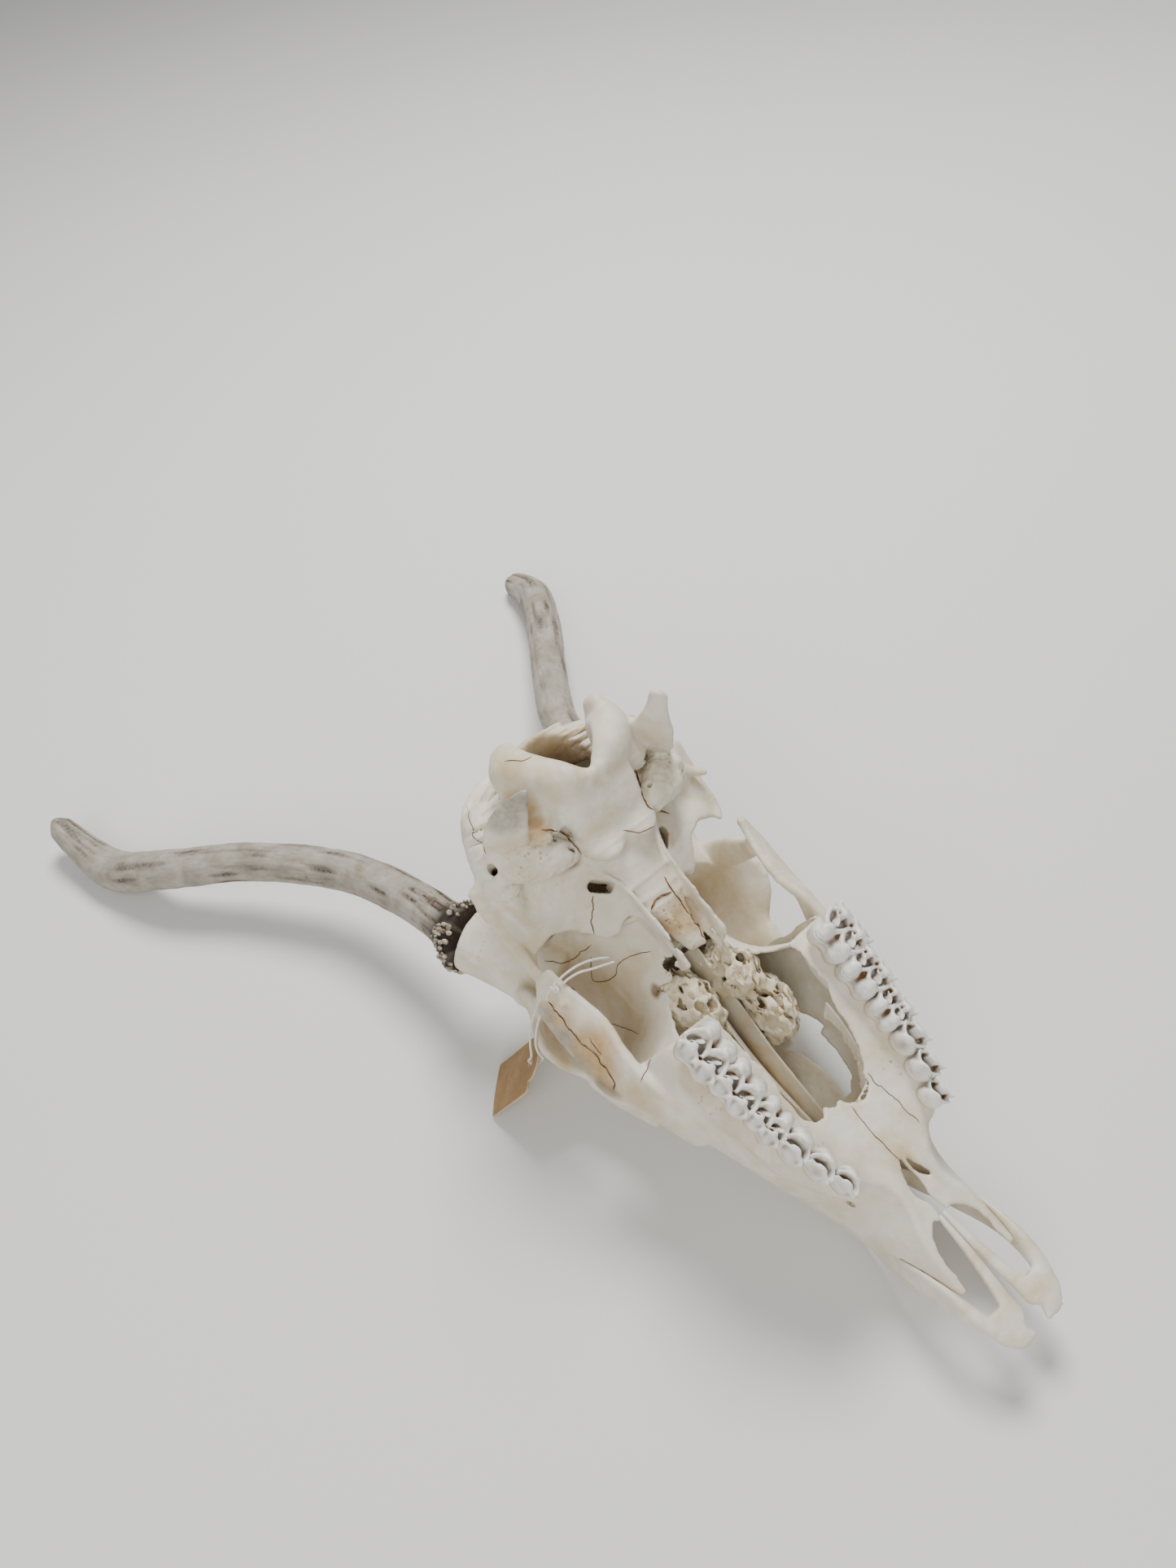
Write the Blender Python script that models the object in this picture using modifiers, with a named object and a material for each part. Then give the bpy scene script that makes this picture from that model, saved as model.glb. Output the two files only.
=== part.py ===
"""Skull of a young fallow buck with spike antlers, lying upside down.

The bones are drawn in the skull's own axes, in millimetres: x to the
deer's right, y from the tip of the snout to the back of the head, and z
from the crown to the palate. skull_frame then lays the skull on its crown,
so that it rests on both antlers and on the tips of the nasal bones.
"""

import math

import bmesh
import bpy
from mathutils import Euler, Matrix, Vector

# Driving dimensions, in millimetres and degrees
PITCH = 29.5            # slope of the palate when the skull lies on its crown
FLOOR_DROP = 15.4       # height of the skull axes' origin above the floor
MIDDLE = (-5.4, 221.05)  # middle of the floor that skull and antlers cover, from the snout's tip
BONE_CELL = 1.7         # cell in which the bones are fused
BONE_FACES = 3700       # triangles kept on the skull
SNOUT_BONE_FACES = 360  # and on each bone at the tip of the snout
STRING_TURN_FACES = 360
CLEARANCE = 0.3         # gap between neighbouring pieces
GUM_Z = 0.5             # the tooth sockets' rims
STRING_RADIUS = 0.45
TAG_LENGTH = 35.2       # from the hole to the far end
TAG_TAB = 6.6           # radius of the tab round the hole
TAG_SHOULDER = 1.6      # from the hole back to the tab's shoulders
TAG_WIDTH = 20.5
TAG_CARD = 0.8

# Cheek teeth: middle along the row, offset from the middle line, length, width, crown height
TEETH = [
    (74.6, 20.6, 7.0, 7.4, 8.0),
    (82.8, 23.8, 8.2, 9.0, 8.4),
    (91.8, 26.2, 8.6, 10.0, 8.4),
    (102.2, 27.8, 10.8, 11.6, 7.6),
    (114.6, 28.8, 12.0, 12.6, 8.4),
    (128.4, 28.3, 13.0, 12.4, 8.6),
]

# Antler centre lines on the deer's right side: x, y, z, radius
SPIKE_RIGHT = [
    (44.4, 208.5, -83.4, 10.5), (44.9, 210.8, -85.6, 14.2), (45.4, 213.2, -87.8, 14.6),
    (45.9, 216.0, -90.2, 10.6), (46.6, 221.5, -95.0, 9.0), (48.5, 240.4, -110.8, 8.6),
    (59.0, 268.0, -133.6, 8.5), (81.0, 296.8, -154.9, 8.5), (102.6, 320.6, -177.0, 8.8),
    (119.0, 342.4, -198.0, 9.2), (122.6, 354.5, -208.8, 7.6), (121.8, 365.0, -217.6, 5.6),
]
SPIKE_LEFT = [
    (44.4, 208.5, -83.4, 10.5), (44.9, 210.8, -85.6, 14.2), (45.4, 213.2, -87.8, 14.6),
    (45.9, 216.0, -90.2, 10.6), (46.6, 221.5, -95.0, 9.0), (48.8, 240.2, -110.5, 8.6),
    (58.5, 268.4, -133.6, 8.5), (82.0, 297.5, -154.9, 8.5), (111.0, 321.8, -176.2, 8.8),
    (126.6, 340.4, -199.6, 9.3), (132.4, 361.0, -209.0, 7.4), (135.7, 382.5, -215.0, 5.4),
]

# The tag and its string hang in floor axes, millimetres from below the snout's tip
TAG_HOLE = (-58.0, 174.4, 31.8)
TAG_ALONG = (-0.29, 0.47, -0.834)
TAG_ACROSS = (0.73, 0.67, 0.12)
KNOT = (-46.2, 165.6, 77.6)
STRING_LOOP = [  # down one face of the tag, through the hole and up the other face
    (-50.3, 168.0, 70.0), (-51.0, 168.8, 66.4), (-51.9, 169.9, 62.0), (-53.2, 171.3, 56.0), (-54.6, 171.9, 50.0),
    (-55.7, 171.9, 44.6), (-55.9, 171.2, 40.4), (-55.2, 170.4, 37.0), (-55.6, 171.3, 34.6), (-56.2, 172.3, 32.4),
    (-57.0, 173.3, 31.5), (-58.0, 174.4, 31.8), (-58.7, 174.9, 33.0), (-58.6, 174.6, 34.5), (-58.0, 173.6, 36.7),
    (-57.6, 173.3, 40.0), (-56.9, 173.4, 45.0), (-55.7, 173.4, 51.0), (-54.2, 172.9, 57.0), (-52.6, 171.6, 63.0),
    (-51.3, 170.2, 68.6), (-50.3, 169.2, 72.2),
]
STRING_END_UPPER = [
    (-44.2, 165.4, 79.8), (-42.1, 165.7, 80.0), (-37.0, 166.1, 79.0), (-32.5, 165.9, 77.6), (-28.1, 165.1, 75.6),
    (-24.6, 164.2, 73.4),
]
STRING_END_LOWER = [
    (-43.4, 164.4, 78.2), (-41.2, 164.8, 78.0), (-36.6, 164.4, 77.4), (-32.5, 163.2, 76.2), (-28.0, 162.5, 74.4),
    (-24.0, 162.2, 72.4),
]


def clear_scene():
    for old in list(bpy.data.objects):
        bpy.data.objects.remove(old, do_unlink=True)


def new_collection(name):
    group = bpy.data.collections.new(name)
    bpy.context.scene.collection.children.link(group)
    return group


def new_material(name, colour, roughness):
    material = bpy.data.materials.new(name)
    material.use_nodes = True
    shader = material.node_tree.nodes["Principled BSDF"]
    shader.inputs["Base Color"].default_value = (*colour, 1)
    shader.inputs["Roughness"].default_value = roughness
    shader.inputs["Metallic"].default_value = 0
    return material


def as_object(name, mesh_data):
    piece = bpy.data.objects.new(name, mesh_data)
    bpy.context.scene.collection.objects.link(piece)
    return piece


def from_bmesh(name, bm):
    bmesh.ops.recalc_face_normals(bm, faces=bm.faces)
    mesh_data = bpy.data.meshes.new(name)
    bm.to_mesh(mesh_data)
    bm.free()
    return as_object(name, mesh_data)


def evaluated(piece):
    """The piece with its modifiers applied, in place of the piece."""
    depsgraph = bpy.context.evaluated_depsgraph_get()
    mesh_data = bpy.data.meshes.new_from_object(piece.evaluated_get(depsgraph))
    mesh_data.transform(piece.matrix_world)
    name = piece.name
    bpy.data.objects.remove(piece, do_unlink=True)
    return as_object(name, mesh_data)


def joined(name, pieces):
    bm = bmesh.new()
    for piece in pieces:
        bm.from_mesh(piece.data)
        bpy.data.objects.remove(piece, do_unlink=True)
    mesh_data = bpy.data.meshes.new(name)
    bm.to_mesh(mesh_data)
    bm.free()
    return as_object(name, mesh_data)


def mirrored(piece):
    """A copy of the piece on the other side of the middle plane."""
    bm = bmesh.new()
    bm.from_mesh(piece.data)
    bmesh.ops.scale(bm, vec=(-1, 1, 1), verts=bm.verts)
    bmesh.ops.reverse_faces(bm, faces=bm.faces)
    return from_bmesh(piece.name + "_other", bm)


def both(piece):
    return [piece, mirrored(piece)]


def blob(centre, radii, turn=(0, 0, 0), name="blob"):
    """An ellipsoid, turned in degrees."""
    bpy.ops.mesh.primitive_uv_sphere_add(segments=20, ring_count=12)
    ball = bpy.context.object
    ball.name = name
    turning = Euler([math.radians(angle) for angle in turn]).to_matrix().to_4x4()
    ball.data.transform(Matrix.Translation(centre) @ turning @ Matrix.Diagonal((*radii, 1)))
    return ball


def smooth_stations(stations, steps):
    """Rows of numbers read from a Catmull-Rom curve through the rows given."""
    rows = [Vector(row) for row in stations]
    rows = [2 * rows[0] - rows[1], *rows, 2 * rows[-1] - rows[-2]]
    out = []
    for before, start, end, after in zip(rows, rows[1:], rows[2:], rows[3:]):
        for step in range(steps):
            t = step / steps
            out.append(0.5 * (2 * start + (end - before) * t
                              + (2 * before - 5 * start + 4 * end - after) * t ** 2
                              + (3 * start - before - 3 * end + after) * t ** 3))
    out.append(rows[-2])
    return out


def bar(stations, side=(1, 0, 0), steps=3, sides=12, squareness=2.0, name="bar"):
    """A loft of ellipses: each station is x, y, z, half-width along side and half-height."""
    rows = smooth_stations(stations, steps)
    bm = bmesh.new()
    rings = []
    for index, row in enumerate(rows):
        ahead = rows[min(index + 1, len(rows) - 1)]
        behind = rows[max(index - 1, 0)]
        along = Vector((ahead - behind)[:3]).normalized()
        across = Vector(side)
        across = (across - across.dot(along) * along).normalized()
        up = along.cross(across)
        ring = []
        for corner in range(sides):
            angle = 2 * math.pi * corner / sides
            cosine, sine = math.cos(angle), math.sin(angle)
            wide = math.copysign(abs(cosine) ** (2 / squareness), cosine) * max(row[3], 0.3)
            high = math.copysign(abs(sine) ** (2 / squareness), sine) * max(row[4], 0.3)
            ring.append(bm.verts.new(Vector(row[:3]) + across * wide + up * high))
        rings.append(ring)
    for lower, upper in zip(rings, rings[1:]):
        for corner in range(sides):
            after = (corner + 1) % sides
            bm.faces.new((lower[corner], lower[after], upper[after], upper[corner]))
    bm.faces.new(rings[0])
    bm.faces.new(rings[-1])
    return from_bmesh(name, bm)


def plate(rows, thickness, name="plate"):
    """A curved plate: a coarse cage of points, subdivided and then thickened."""
    bm = bmesh.new()
    grid = [[bm.verts.new(point) for point in row] for row in rows]
    for row, below in zip(grid, grid[1:]):
        for index in range(len(row) - 1):
            bm.faces.new((row[index], row[index + 1], below[index + 1], below[index]))
    sheet = from_bmesh(name, bm)
    soft = sheet.modifiers.new("soft", "SUBSURF")
    soft.levels = soft.render_levels = 2
    wall = sheet.modifiers.new("wall", "SOLIDIFY")
    wall.thickness = thickness
    wall.offset = 0
    return evaluated(sheet)


def shell_section(y, outline):
    """A ring round the snout from half an outline, palate first, crown last."""
    right = [Vector((x, y, z)) for x, z in outline]
    left = [Vector((-x, y, z)) for x, z in reversed(outline[1:-1])]
    return right + left


def snout_loft(sections, name):
    bm = bmesh.new()
    rings = [[bm.verts.new(point) for point in shell_section(y, outline)] for y, outline in sections]
    for lower, upper in zip(rings, rings[1:]):
        for corner in range(len(lower)):
            after = (corner + 1) % len(lower)
            bm.faces.new((lower[corner], lower[after], upper[after], upper[corner]))
    bm.faces.new(rings[0])
    bm.faces.new(rings[-1])
    hull = from_bmesh(name, bm)
    soft = hull.modifiers.new("soft", "SUBSURF")
    soft.levels = soft.render_levels = 2
    return evaluated(hull)


# Half outlines of the snout: y, then palate middle, tooth ridge, cheek, nasal corner, crown middle
SNOUT = [
    (50, [(0, -4), (13.5, -2), (18.5, -25), (11.5, -44.2), (0, -47.4)]),
    (60, [(0, -4), (16, -1), (21.5, -30), (13, -50), (0, -52.7)]),
    (75, [(0, -3), (29, 2), (27, -30), (15, -55), (0, -58)]),
    (95, [(0, -3), (36, 3), (34, -32), (19, -62), (0, -66)]),
    (115, [(0, -4), (40, 3), (40, -32), (25, -70), (0, -75)]),
    (134, [(0, -6), (38, -2), (41, -30), (35, -72), (0, -81)]),
]


def grown(outline, by):
    """The half outline moved in by a wall's thickness."""
    inner = []
    for x, z in outline:
        inner.append((max(x - by, 0), z - by if z > -20 else z + (by if z < -40 else 0)))
    return inner


def face_bones():
    """The snout's shell, the eye sockets and their rims."""
    pieces = [snout_loft(SNOUT, "snout")]
    roof = [
        [(0, 96, -65), (14, 96, -63), (22, 97, -58), (27, 98, -50)],
        [(0, 118, -75), (16, 118, -74), (28, 118, -69), (37, 118, -60)],
        [(0, 140, -82), (16, 140, -81), (32, 140, -77), (46, 141, -69)],
        [(0, 158, -86), (18, 158, -85), (36, 159, -77), (53, 160, -60)],
        [(0, 174, -88), (18, 174, -87), (36, 174, -80), (50, 173, -64)],
        [(0, 192, -86), (16, 192, -86), (30, 192, -81), (40, 190, -72)],
    ]
    pieces += both(plate(roof, 4.0, "eye_roof"))
    wall = [
        [(10, 186, -24), (20, 186, -38), (28, 186, -55), (34, 186, -76)],
        [(7, 168, -23), (15, 168, -38), (20, 168, -56), (27, 168, -80)],
        [(7, 152, -24), (16, 152, -38), (20, 152, -56), (27, 152, -80)],
        [(11, 140, -20), (21, 140, -36), (28, 139, -55), (34, 138, -76)],
        [(20, 130, -10), (32, 131, -30), (39, 131, -50), (42, 132, -68)],
    ]
    pieces += both(plate(wall, 2.6, "eye_wall"))
    # The tooth-bearing bulge behind the last molar
    pieces += both(blob((29, 132, -8), (11, 13, 9), name="jaw_bulge"))
    spur = [(4, 60, -6, 4, 2.5), (2.8, 52, -4.6, 2.2, 1.6), (2.2, 47.5, -4.2, 1, 1)]
    pieces += both(bar(spur, name="palate_spur"))
    return pieces


def cheek_arches():
    """Cheek arches: closed on the left, open at the rear joint on the right."""
    root = [(30, 205, -36, 8, 5), (37, 204, -36, 7, 4.5), (43, 199, -38, 4.5, 4.5), (46, 192, -40, 2.6, 4.5),
            (46, 187, -41, 1.3, 3)]
    cheek = [(46.5, 180, -31, 1.4, 1.8), (47.4, 174, -32.5, 2, 4), (49.6, 164, -32.5, 2.4, 6),
             (50, 153, -30, 2.6, 7.5), (48.5, 142, -26, 3.2, 9), (44.5, 131, -24, 4.5, 10),
             (39.5, 120, -26, 5, 10), (35, 109, -29, 4, 8)]
    pieces = both(bar(root, name="arch_root")) + both(bar(cheek, name="cheek"))
    bridge = [(-45, 191, -39.5, 2.2, 4), (-45.9, 182, -36.5, 2.1, 4.2), (-46, 174.5, -34.2, 2, 4.4),
              (-47.6, 168, -33, 2.3, 5)]
    pieces.append(bar(bridge, name="arch_bridge"))
    post = [(43, 180, -76, 5, 4), (47.6, 175, -62, 2.8, 6), (49.4, 171, -50, 2.2, 5), (48.4, 169, -37, 2, 4)]
    pieces += both(bar(post, name="socket_post"))
    rim = [(39, 120, -55, 3, 3), (44, 131, -66, 3, 3), (48.5, 145, -68, 2.2, 3), (53, 158, -61, 2.2, 3.5),
           (52, 168, -58, 2.2, 4)]
    pieces += both(bar(rim, name="socket_rim"))
    return pieces


def braincase():
    """The braincase, its base, and all that stands on it."""
    case = [(0, 156, -54, 26, 30), (0, 175, -53, 32, 33), (0, 195, -49, 35, 32), (0, 213, -42, 35.5, 29.5),
            (0, 227, -36, 33.5, 27), (0, 237, -34, 31, 23), (0, 245, -35, 26, 17)]
    base = [(0, 146, -23, 3, 3), (0, 165, -23.5, 4, 3.5), (0, 180, -23, 7, 4), (0, 190, -21.5, 9, 5),
            (0, 197, -18.5, 13.5, 5), (0, 206, -13, 14, 6), (0, 216, -6.5, 15, 6.5), (0, 224, -3.5, 14, 6)]
    pieces = [bar(case, sides=24, name="case"), bar(base, squareness=2.6, name="base")]
    condyle = [(6, 220.5, 0, 4, 4.5), (11.5, 224, 0, 6.5, 5.5), (16.5, 228.5, -1, 8.2, 7.2), (19, 232, -5, 8.6, 7.8),
               (18.5, 236, -12, 8.6, 7.6), (16, 240, -20, 7, 6)]
    pieces += both(bar(condyle, name="condyle"))
    process = [(35, 222, -16, 4.5, 8), (33, 224.5, -6, 4, 7), (30.5, 226, 4, 2.8, 5), (28.3, 226.5, 12, 2.2, 3.2),
               (28, 226.5, 17, 1.8, 2.2)]
    pieces += both(bar(process, name="paroccipital"))
    pieces += both(blob((27, 228, -14), (9, 7, 9), name="occiput_web"))
    pieces += both(blob((14, 234, -25), (15, 11, 14), (30, 0, 0), name="occiput_wall"))
    pieces += both(blob((33, 201, -38), (12, 10, 5), name="jaw_shelf"))
    drum = [(19, 199, -12, 3.5, 4), (22, 203, -14, 7, 7), (27, 208, -19, 8.5, 8.5), (32, 213, -25, 7, 7),
            (37, 218, -32, 4, 4)]
    pieces += both(bar(drum, name="drum"))
    crest = [(35, 222, -16, 3.5, 5), (34.5, 230, -26, 3.5, 5), (29, 239, -36, 3.5, 4.5), (20, 245, -43, 3.5, 4),
             (10, 249, -47, 3.5, 4), (0, 250, -48, 3.5, 4)]
    pieces += both(bar(crest, name="crest"))
    tubercle = blob((7.5, 196, -16.5), (6, 6.5, 4.5), (20, 0, 0), name="tubercle")
    pieces += both(tubercle)
    wing = [(13, 190, -22, 1.3, 5), (10.5, 178, -18.5, 1.3, 6), (8.5, 163, -17.5, 1.2, 5.5), (7.5, 150, -20, 1.2, 4.5)]
    pieces += both(bar(wing, name="wing_bone"))
    rail = [(0, 156, -33, 1.4, 7), (0, 130, -40, 1.3, 6), (0, 108, -42, 1.2, 5), (0, 84, -42, 1.2, 5)]
    pieces.append(bar(rail, name="septum"))
    pieces += both(blob((8.5, 137, -46), (8, 13, 15), name="scroll_bones"))
    pieces += both(blob((9, 118, -52), (6.5, 12, 9), name="scroll_bones_front"))
    return pieces


def pedicles():
    stem = [(30, 176, -74, 15, 15), (36, 190, -79, 12.5, 12.5), (41.5, 202, -83, 11.5, 11.5),
            (45.5, 212, -86.5, 11.2, 11.2)]
    return both(bar(stem, sides=16, name="pedicle"))


def hollows():
    """All that is empty: nose, braincase, eye gaps and the broken palate."""
    nose = [(y - (12 if index == 0 else 0), grown(outline, 3.2)) for index, (y, outline) in enumerate(SNOUT)]
    pieces = [snout_loft(nose, "nose_hollow")]
    gap = [(0, 95, -4, 8, 9), (0, 103, -5, 14, 12), (0, 118, -8, 14.5, 14), (0, 134, -12, 13, 12),
           (0, 147, -16, 5.5, 5)]
    pieces.append(bar(gap, squareness=2.6, name="palate_gap"))
    window = [(14, 112, -62, 8, 4), (24, 110, -57, 11, 6), (36, 108, -52, 12, 7)]
    pieces += both(bar(window, side=(0, 1, 0.3), name="side_gap"))
    brain = [(0, 172, -50, 14, 14), (0, 186, -50, 26, 22), (0, 203, -45, 30, 23), (0, 218, -37, 28, 20),
             (0, 232, -32, 20, 14)]
    pieces.append(bar(brain, sides=16, name="brain_hollow"))
    door = [(0, 221, -25, 10, 9), (0, 234, -10, 10.5, 11), (0, 256, 11, 11, 12)]
    pieces.append(bar(door, name="spinal_door"))
    pieces += both(blob((14.6, 190.5, -22), (3.2, 4.6, 6), (0, 20, 0), name="oval_hole"))
    return pieces


def keep_largest(piece):
    bm = bmesh.new()
    bm.from_mesh(piece.data)
    left = set(bm.verts)
    groups = []
    while left:
        stack = [left.pop()]
        group = set(stack)
        while stack:
            for edge in stack.pop().link_edges:
                for vert in edge.verts:
                    if vert in left:
                        left.discard(vert)
                        group.add(vert)
                        stack.append(vert)
        groups.append(group)
    groups.sort(key=len)
    loose = [vert for group in groups[:-1] for vert in group]
    bmesh.ops.delete(bm, geom=loose, context="VERTS")
    bm.to_mesh(piece.data)
    bm.free()


def fused(name, pieces, cell):
    """One closed skin round all the pieces."""
    lump = joined(name, pieces)
    skin = lump.modifiers.new("skin", "REMESH")
    skin.mode = "VOXEL"
    skin.voxel_size = cell
    return evaluated(lump)


def cut(piece, cutters):
    for cutter in cutters:
        knife = piece.modifiers.new("cut", "BOOLEAN")
        knife.operation = "DIFFERENCE"
        knife.object = cutter
        cutter.hide_render = True
        cutter.display_type = "WIRE"
    result = evaluated(piece)
    for cutter in cutters:
        bpy.data.objects.remove(cutter, do_unlink=True)
    return result


def thinned(piece, faces):
    bm = bmesh.new()
    bm.from_mesh(piece.data)
    bmesh.ops.triangulate(bm, faces=bm.faces)
    total = len(bm.faces)
    bm.to_mesh(piece.data)
    bm.free()
    fewer = piece.modifiers.new("fewer", "DECIMATE")
    fewer.ratio = min(1, faces / total)
    return evaluated(piece)


def swollen(piece, by):
    """A copy of the piece, larger all round."""
    copy = as_object(piece.name + "_room", piece.data.copy())
    swell = copy.modifiers.new("swell", "DISPLACE")
    swell.strength = by
    swell.mid_level = 0
    return evaluated(copy)


def make_premaxilla():
    """The right snout bone: its plate, its side bar and its rod beside the middle line."""
    plate_bar = [(5, 4.5, 1, 2.4, 1.6), (8.5, 8, 0.8, 5, 1.8), (10, 12, 0.4, 5.6, 1.9), (10.4, 17, -0.4, 5.4, 2)]
    side_bar = [(12, 13, -0.4, 3, 2), (14, 21, -2, 2.6, 3), (15.2, 31, -4.6, 2.4, 4.6), (16.2, 41, -8.6, 2.2, 7.2),
                (17.2, 51, -16, 1.8, 8.4), (17.6, 60, -26, 1.4, 6), (16.8, 67, -35, 1, 2.5)]
    rod = [(6.4, 14, 0.2, 2, 1.5), (4, 22, -1, 1.7, 1.4), (2.6, 33, -2.8, 1.5, 1.4), (1.9, 45, -4.6, 1, 1)]
    pieces = [bar(plate_bar, name="tip_plate"), bar(side_bar, name="side_bar"), bar(rod, name="rod")]
    bone = fused("premaxilla_right", pieces, 0.8)
    return thinned(bone, SNOUT_BONE_FACES)


def make_tooth(name, middle, offset, length, width, height):
    """A cheek tooth: a root, a waisted neck, a flared crown and a hollow chewing face."""
    rings = [(-5.0, 0.66, 0.6), (-0.5, 0.84, 0.86), (height * 0.5, 1.0, 1.0), (height, 0.86, 0.8),
             (height - 1.8, 0.4, 0.34)]
    corners = 10
    bm = bmesh.new()
    loops = []
    for rise, along, across in rings:
        loop = []
        for corner in range(corners):
            angle = 2 * math.pi * (corner + 0.5) / corners
            wave = 1 + 0.08 * math.cos(4 * angle)
            loop.append(bm.verts.new((offset + 0.5 * width * across * wave * math.cos(angle),
                                      middle + 0.5 * length * along * wave * math.sin(angle), GUM_Z + rise)))
        loops.append(loop)
    for lower, upper in zip(loops, loops[1:]):
        for corner in range(corners):
            after = (corner + 1) % corners
            bm.faces.new((lower[corner], lower[after], upper[after], upper[corner]))
    bm.faces.new(loops[0])
    bm.faces.new(loops[-1])
    return from_bmesh(name, bm)


def make_spike(name, stations, mirror):
    """A spike antler as a bevelled curve whose radius swells at the burr."""
    curve = bpy.data.curves.new(name, "CURVE")
    curve.dimensions = "3D"
    curve.bevel_depth = 1
    curve.bevel_resolution = 5
    curve.use_fill_caps = True
    rows = stations[:4] + smooth_stations(stations[4:], 3)
    spline = curve.splines.new("POLY")
    spline.points.add(len(rows) - 1)
    for point, row in zip(spline.points, rows):
        point.co = (row[0] * mirror, row[1], row[2], 1)
        point.radius = row[3]
    spike = evaluated(as_object(name, curve))
    bm = bmesh.new()
    bm.from_mesh(spike.data)
    bmesh.ops.remove_doubles(bm, verts=bm.verts, dist=0.01)
    bmesh.ops.recalc_face_normals(bm, faces=bm.faces)
    bm.to_mesh(spike.data)
    bm.free()
    return spike


def seat_cutter(mirror):
    """A slab behind the burr's underside, square to the antler's foot."""
    foot, next_row = Vector(SPIKE_RIGHT[0][:3]), Vector(SPIKE_RIGHT[1][:3])
    along = (next_row - foot).normalized()
    rows = [foot - CLEARANCE * along, foot + 30 * along]
    stations = [(row.x * mirror, row.y, row.z, 24, 24) for row in rows]
    return bar(stations, steps=1, name="seat")


def laid_on_crown(piece):
    """From the skull's own axes to floor axes."""
    piece.data.transform(Matrix.Translation((0, 0, FLOOR_DROP)) @ Matrix.Rotation(math.radians(PITCH), 4, "X"))
    return piece


def finish(piece, material, group):
    """Into metres about the middle of the floor, with smooth shading, under its own material."""
    piece.data.transform(Matrix.Scale(0.001, 4) @ Matrix.Translation((-MIDDLE[0], -MIDDLE[1], 0)))
    for owner in list(piece.users_collection):
        owner.objects.unlink(piece)
    group.objects.link(piece)
    piece.data.materials.clear()
    piece.data.materials.append(material)
    piece.data.shade_smooth()
    piece.data.set_sharp_from_angle(angle=math.radians(50))


def make_tag():
    """A card label with a round tab at its hole, hanging with its far end just off the floor."""
    half = TAG_WIDTH / 2
    outline = [(TAG_LENGTH - 1, -half), (TAG_LENGTH, -half + 1), (TAG_LENGTH, half - 1), (TAG_LENGTH - 1, half),
               (TAG_SHOULDER + 1, half), (TAG_SHOULDER, half - 1), (TAG_SHOULDER, TAG_TAB)]
    for step in range(9):
        angle = math.pi * (0.5 + step / 8)
        outline.append((TAG_TAB * math.cos(angle), TAG_TAB * math.sin(angle)))
    outline += [(TAG_SHOULDER, -TAG_TAB), (TAG_SHOULDER, -half + 1), (TAG_SHOULDER + 1, -half)]
    card = bpy.data.curves.new("tag", "CURVE")
    card.dimensions = "2D"
    card.fill_mode = "BOTH"
    card.extrude = TAG_CARD / 2
    edge = card.splines.new("POLY")
    edge.points.add(len(outline) - 1)
    for point, (along, across) in zip(edge.points, outline):
        point.co = (along, across, 0, 1)
    edge.use_cyclic_u = True
    hole = card.splines.new("POLY")
    hole.points.add(9)
    for index, point in enumerate(hole.points):
        angle = -2 * math.pi * index / 10
        point.co = (1.7 * math.cos(angle), 1.7 * math.sin(angle), 0, 1)
    hole.use_cyclic_u = True
    tag = evaluated(as_object("tag", card))
    along = Vector(TAG_ALONG).normalized()
    across = Vector(TAG_ACROSS)
    across = (across - across.dot(along) * along).normalized()
    face = along.cross(across)
    turn = Matrix((along, across, face)).transposed().to_4x4()
    tag.data.transform(Matrix.Translation(TAG_HOLE) @ turn)
    bm = bmesh.new()
    bm.from_mesh(tag.data)
    bmesh.ops.remove_doubles(bm, verts=bm.verts, dist=0.01)
    bmesh.ops.recalc_face_normals(bm, faces=bm.faces)
    bm.to_mesh(tag.data)
    bm.free()
    return tag


def thread(name, route, closed=False):
    """A plain round string along the smooth curve through the route's points."""
    curve = bpy.data.curves.new(name, "CURVE")
    curve.dimensions = "3D"
    curve.bevel_depth = STRING_RADIUS
    curve.bevel_resolution = 2
    curve.use_fill_caps = True
    rows = route if closed else smooth_stations(route, 2)
    spline = curve.splines.new("POLY")
    spline.points.add(len(rows) - 1)
    for point, row in zip(spline.points, rows):
        point.co = (*row[:3], 1)
    spline.use_cyclic_u = closed
    tube = evaluated(as_object(name, curve))
    bm = bmesh.new()
    bm.from_mesh(tube.data)
    bmesh.ops.remove_doubles(bm, verts=bm.verts, dist=0.01)
    bmesh.ops.recalc_face_normals(bm, faces=bm.faces)
    bm.to_mesh(tube.data)
    bm.free()
    return tube


def make_string_turn():
    """The turn round the left cheek arch with its knot, in floor axes."""
    ring = []
    for step in range(16):
        angle = 2 * math.pi * step / 16
        ring.append((-46 + 3.3 * math.cos(angle), 173.4 + 1.9 * math.sin(angle), -34 + 6 * math.sin(angle)))
    turn = laid_on_crown(thread("string_turn", ring, closed=True))
    return thinned(fused("string_turn", [turn, blob(KNOT, (1.7, 2.0, 1.8), name="knot")], 0.36), STRING_TURN_FACES)


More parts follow.
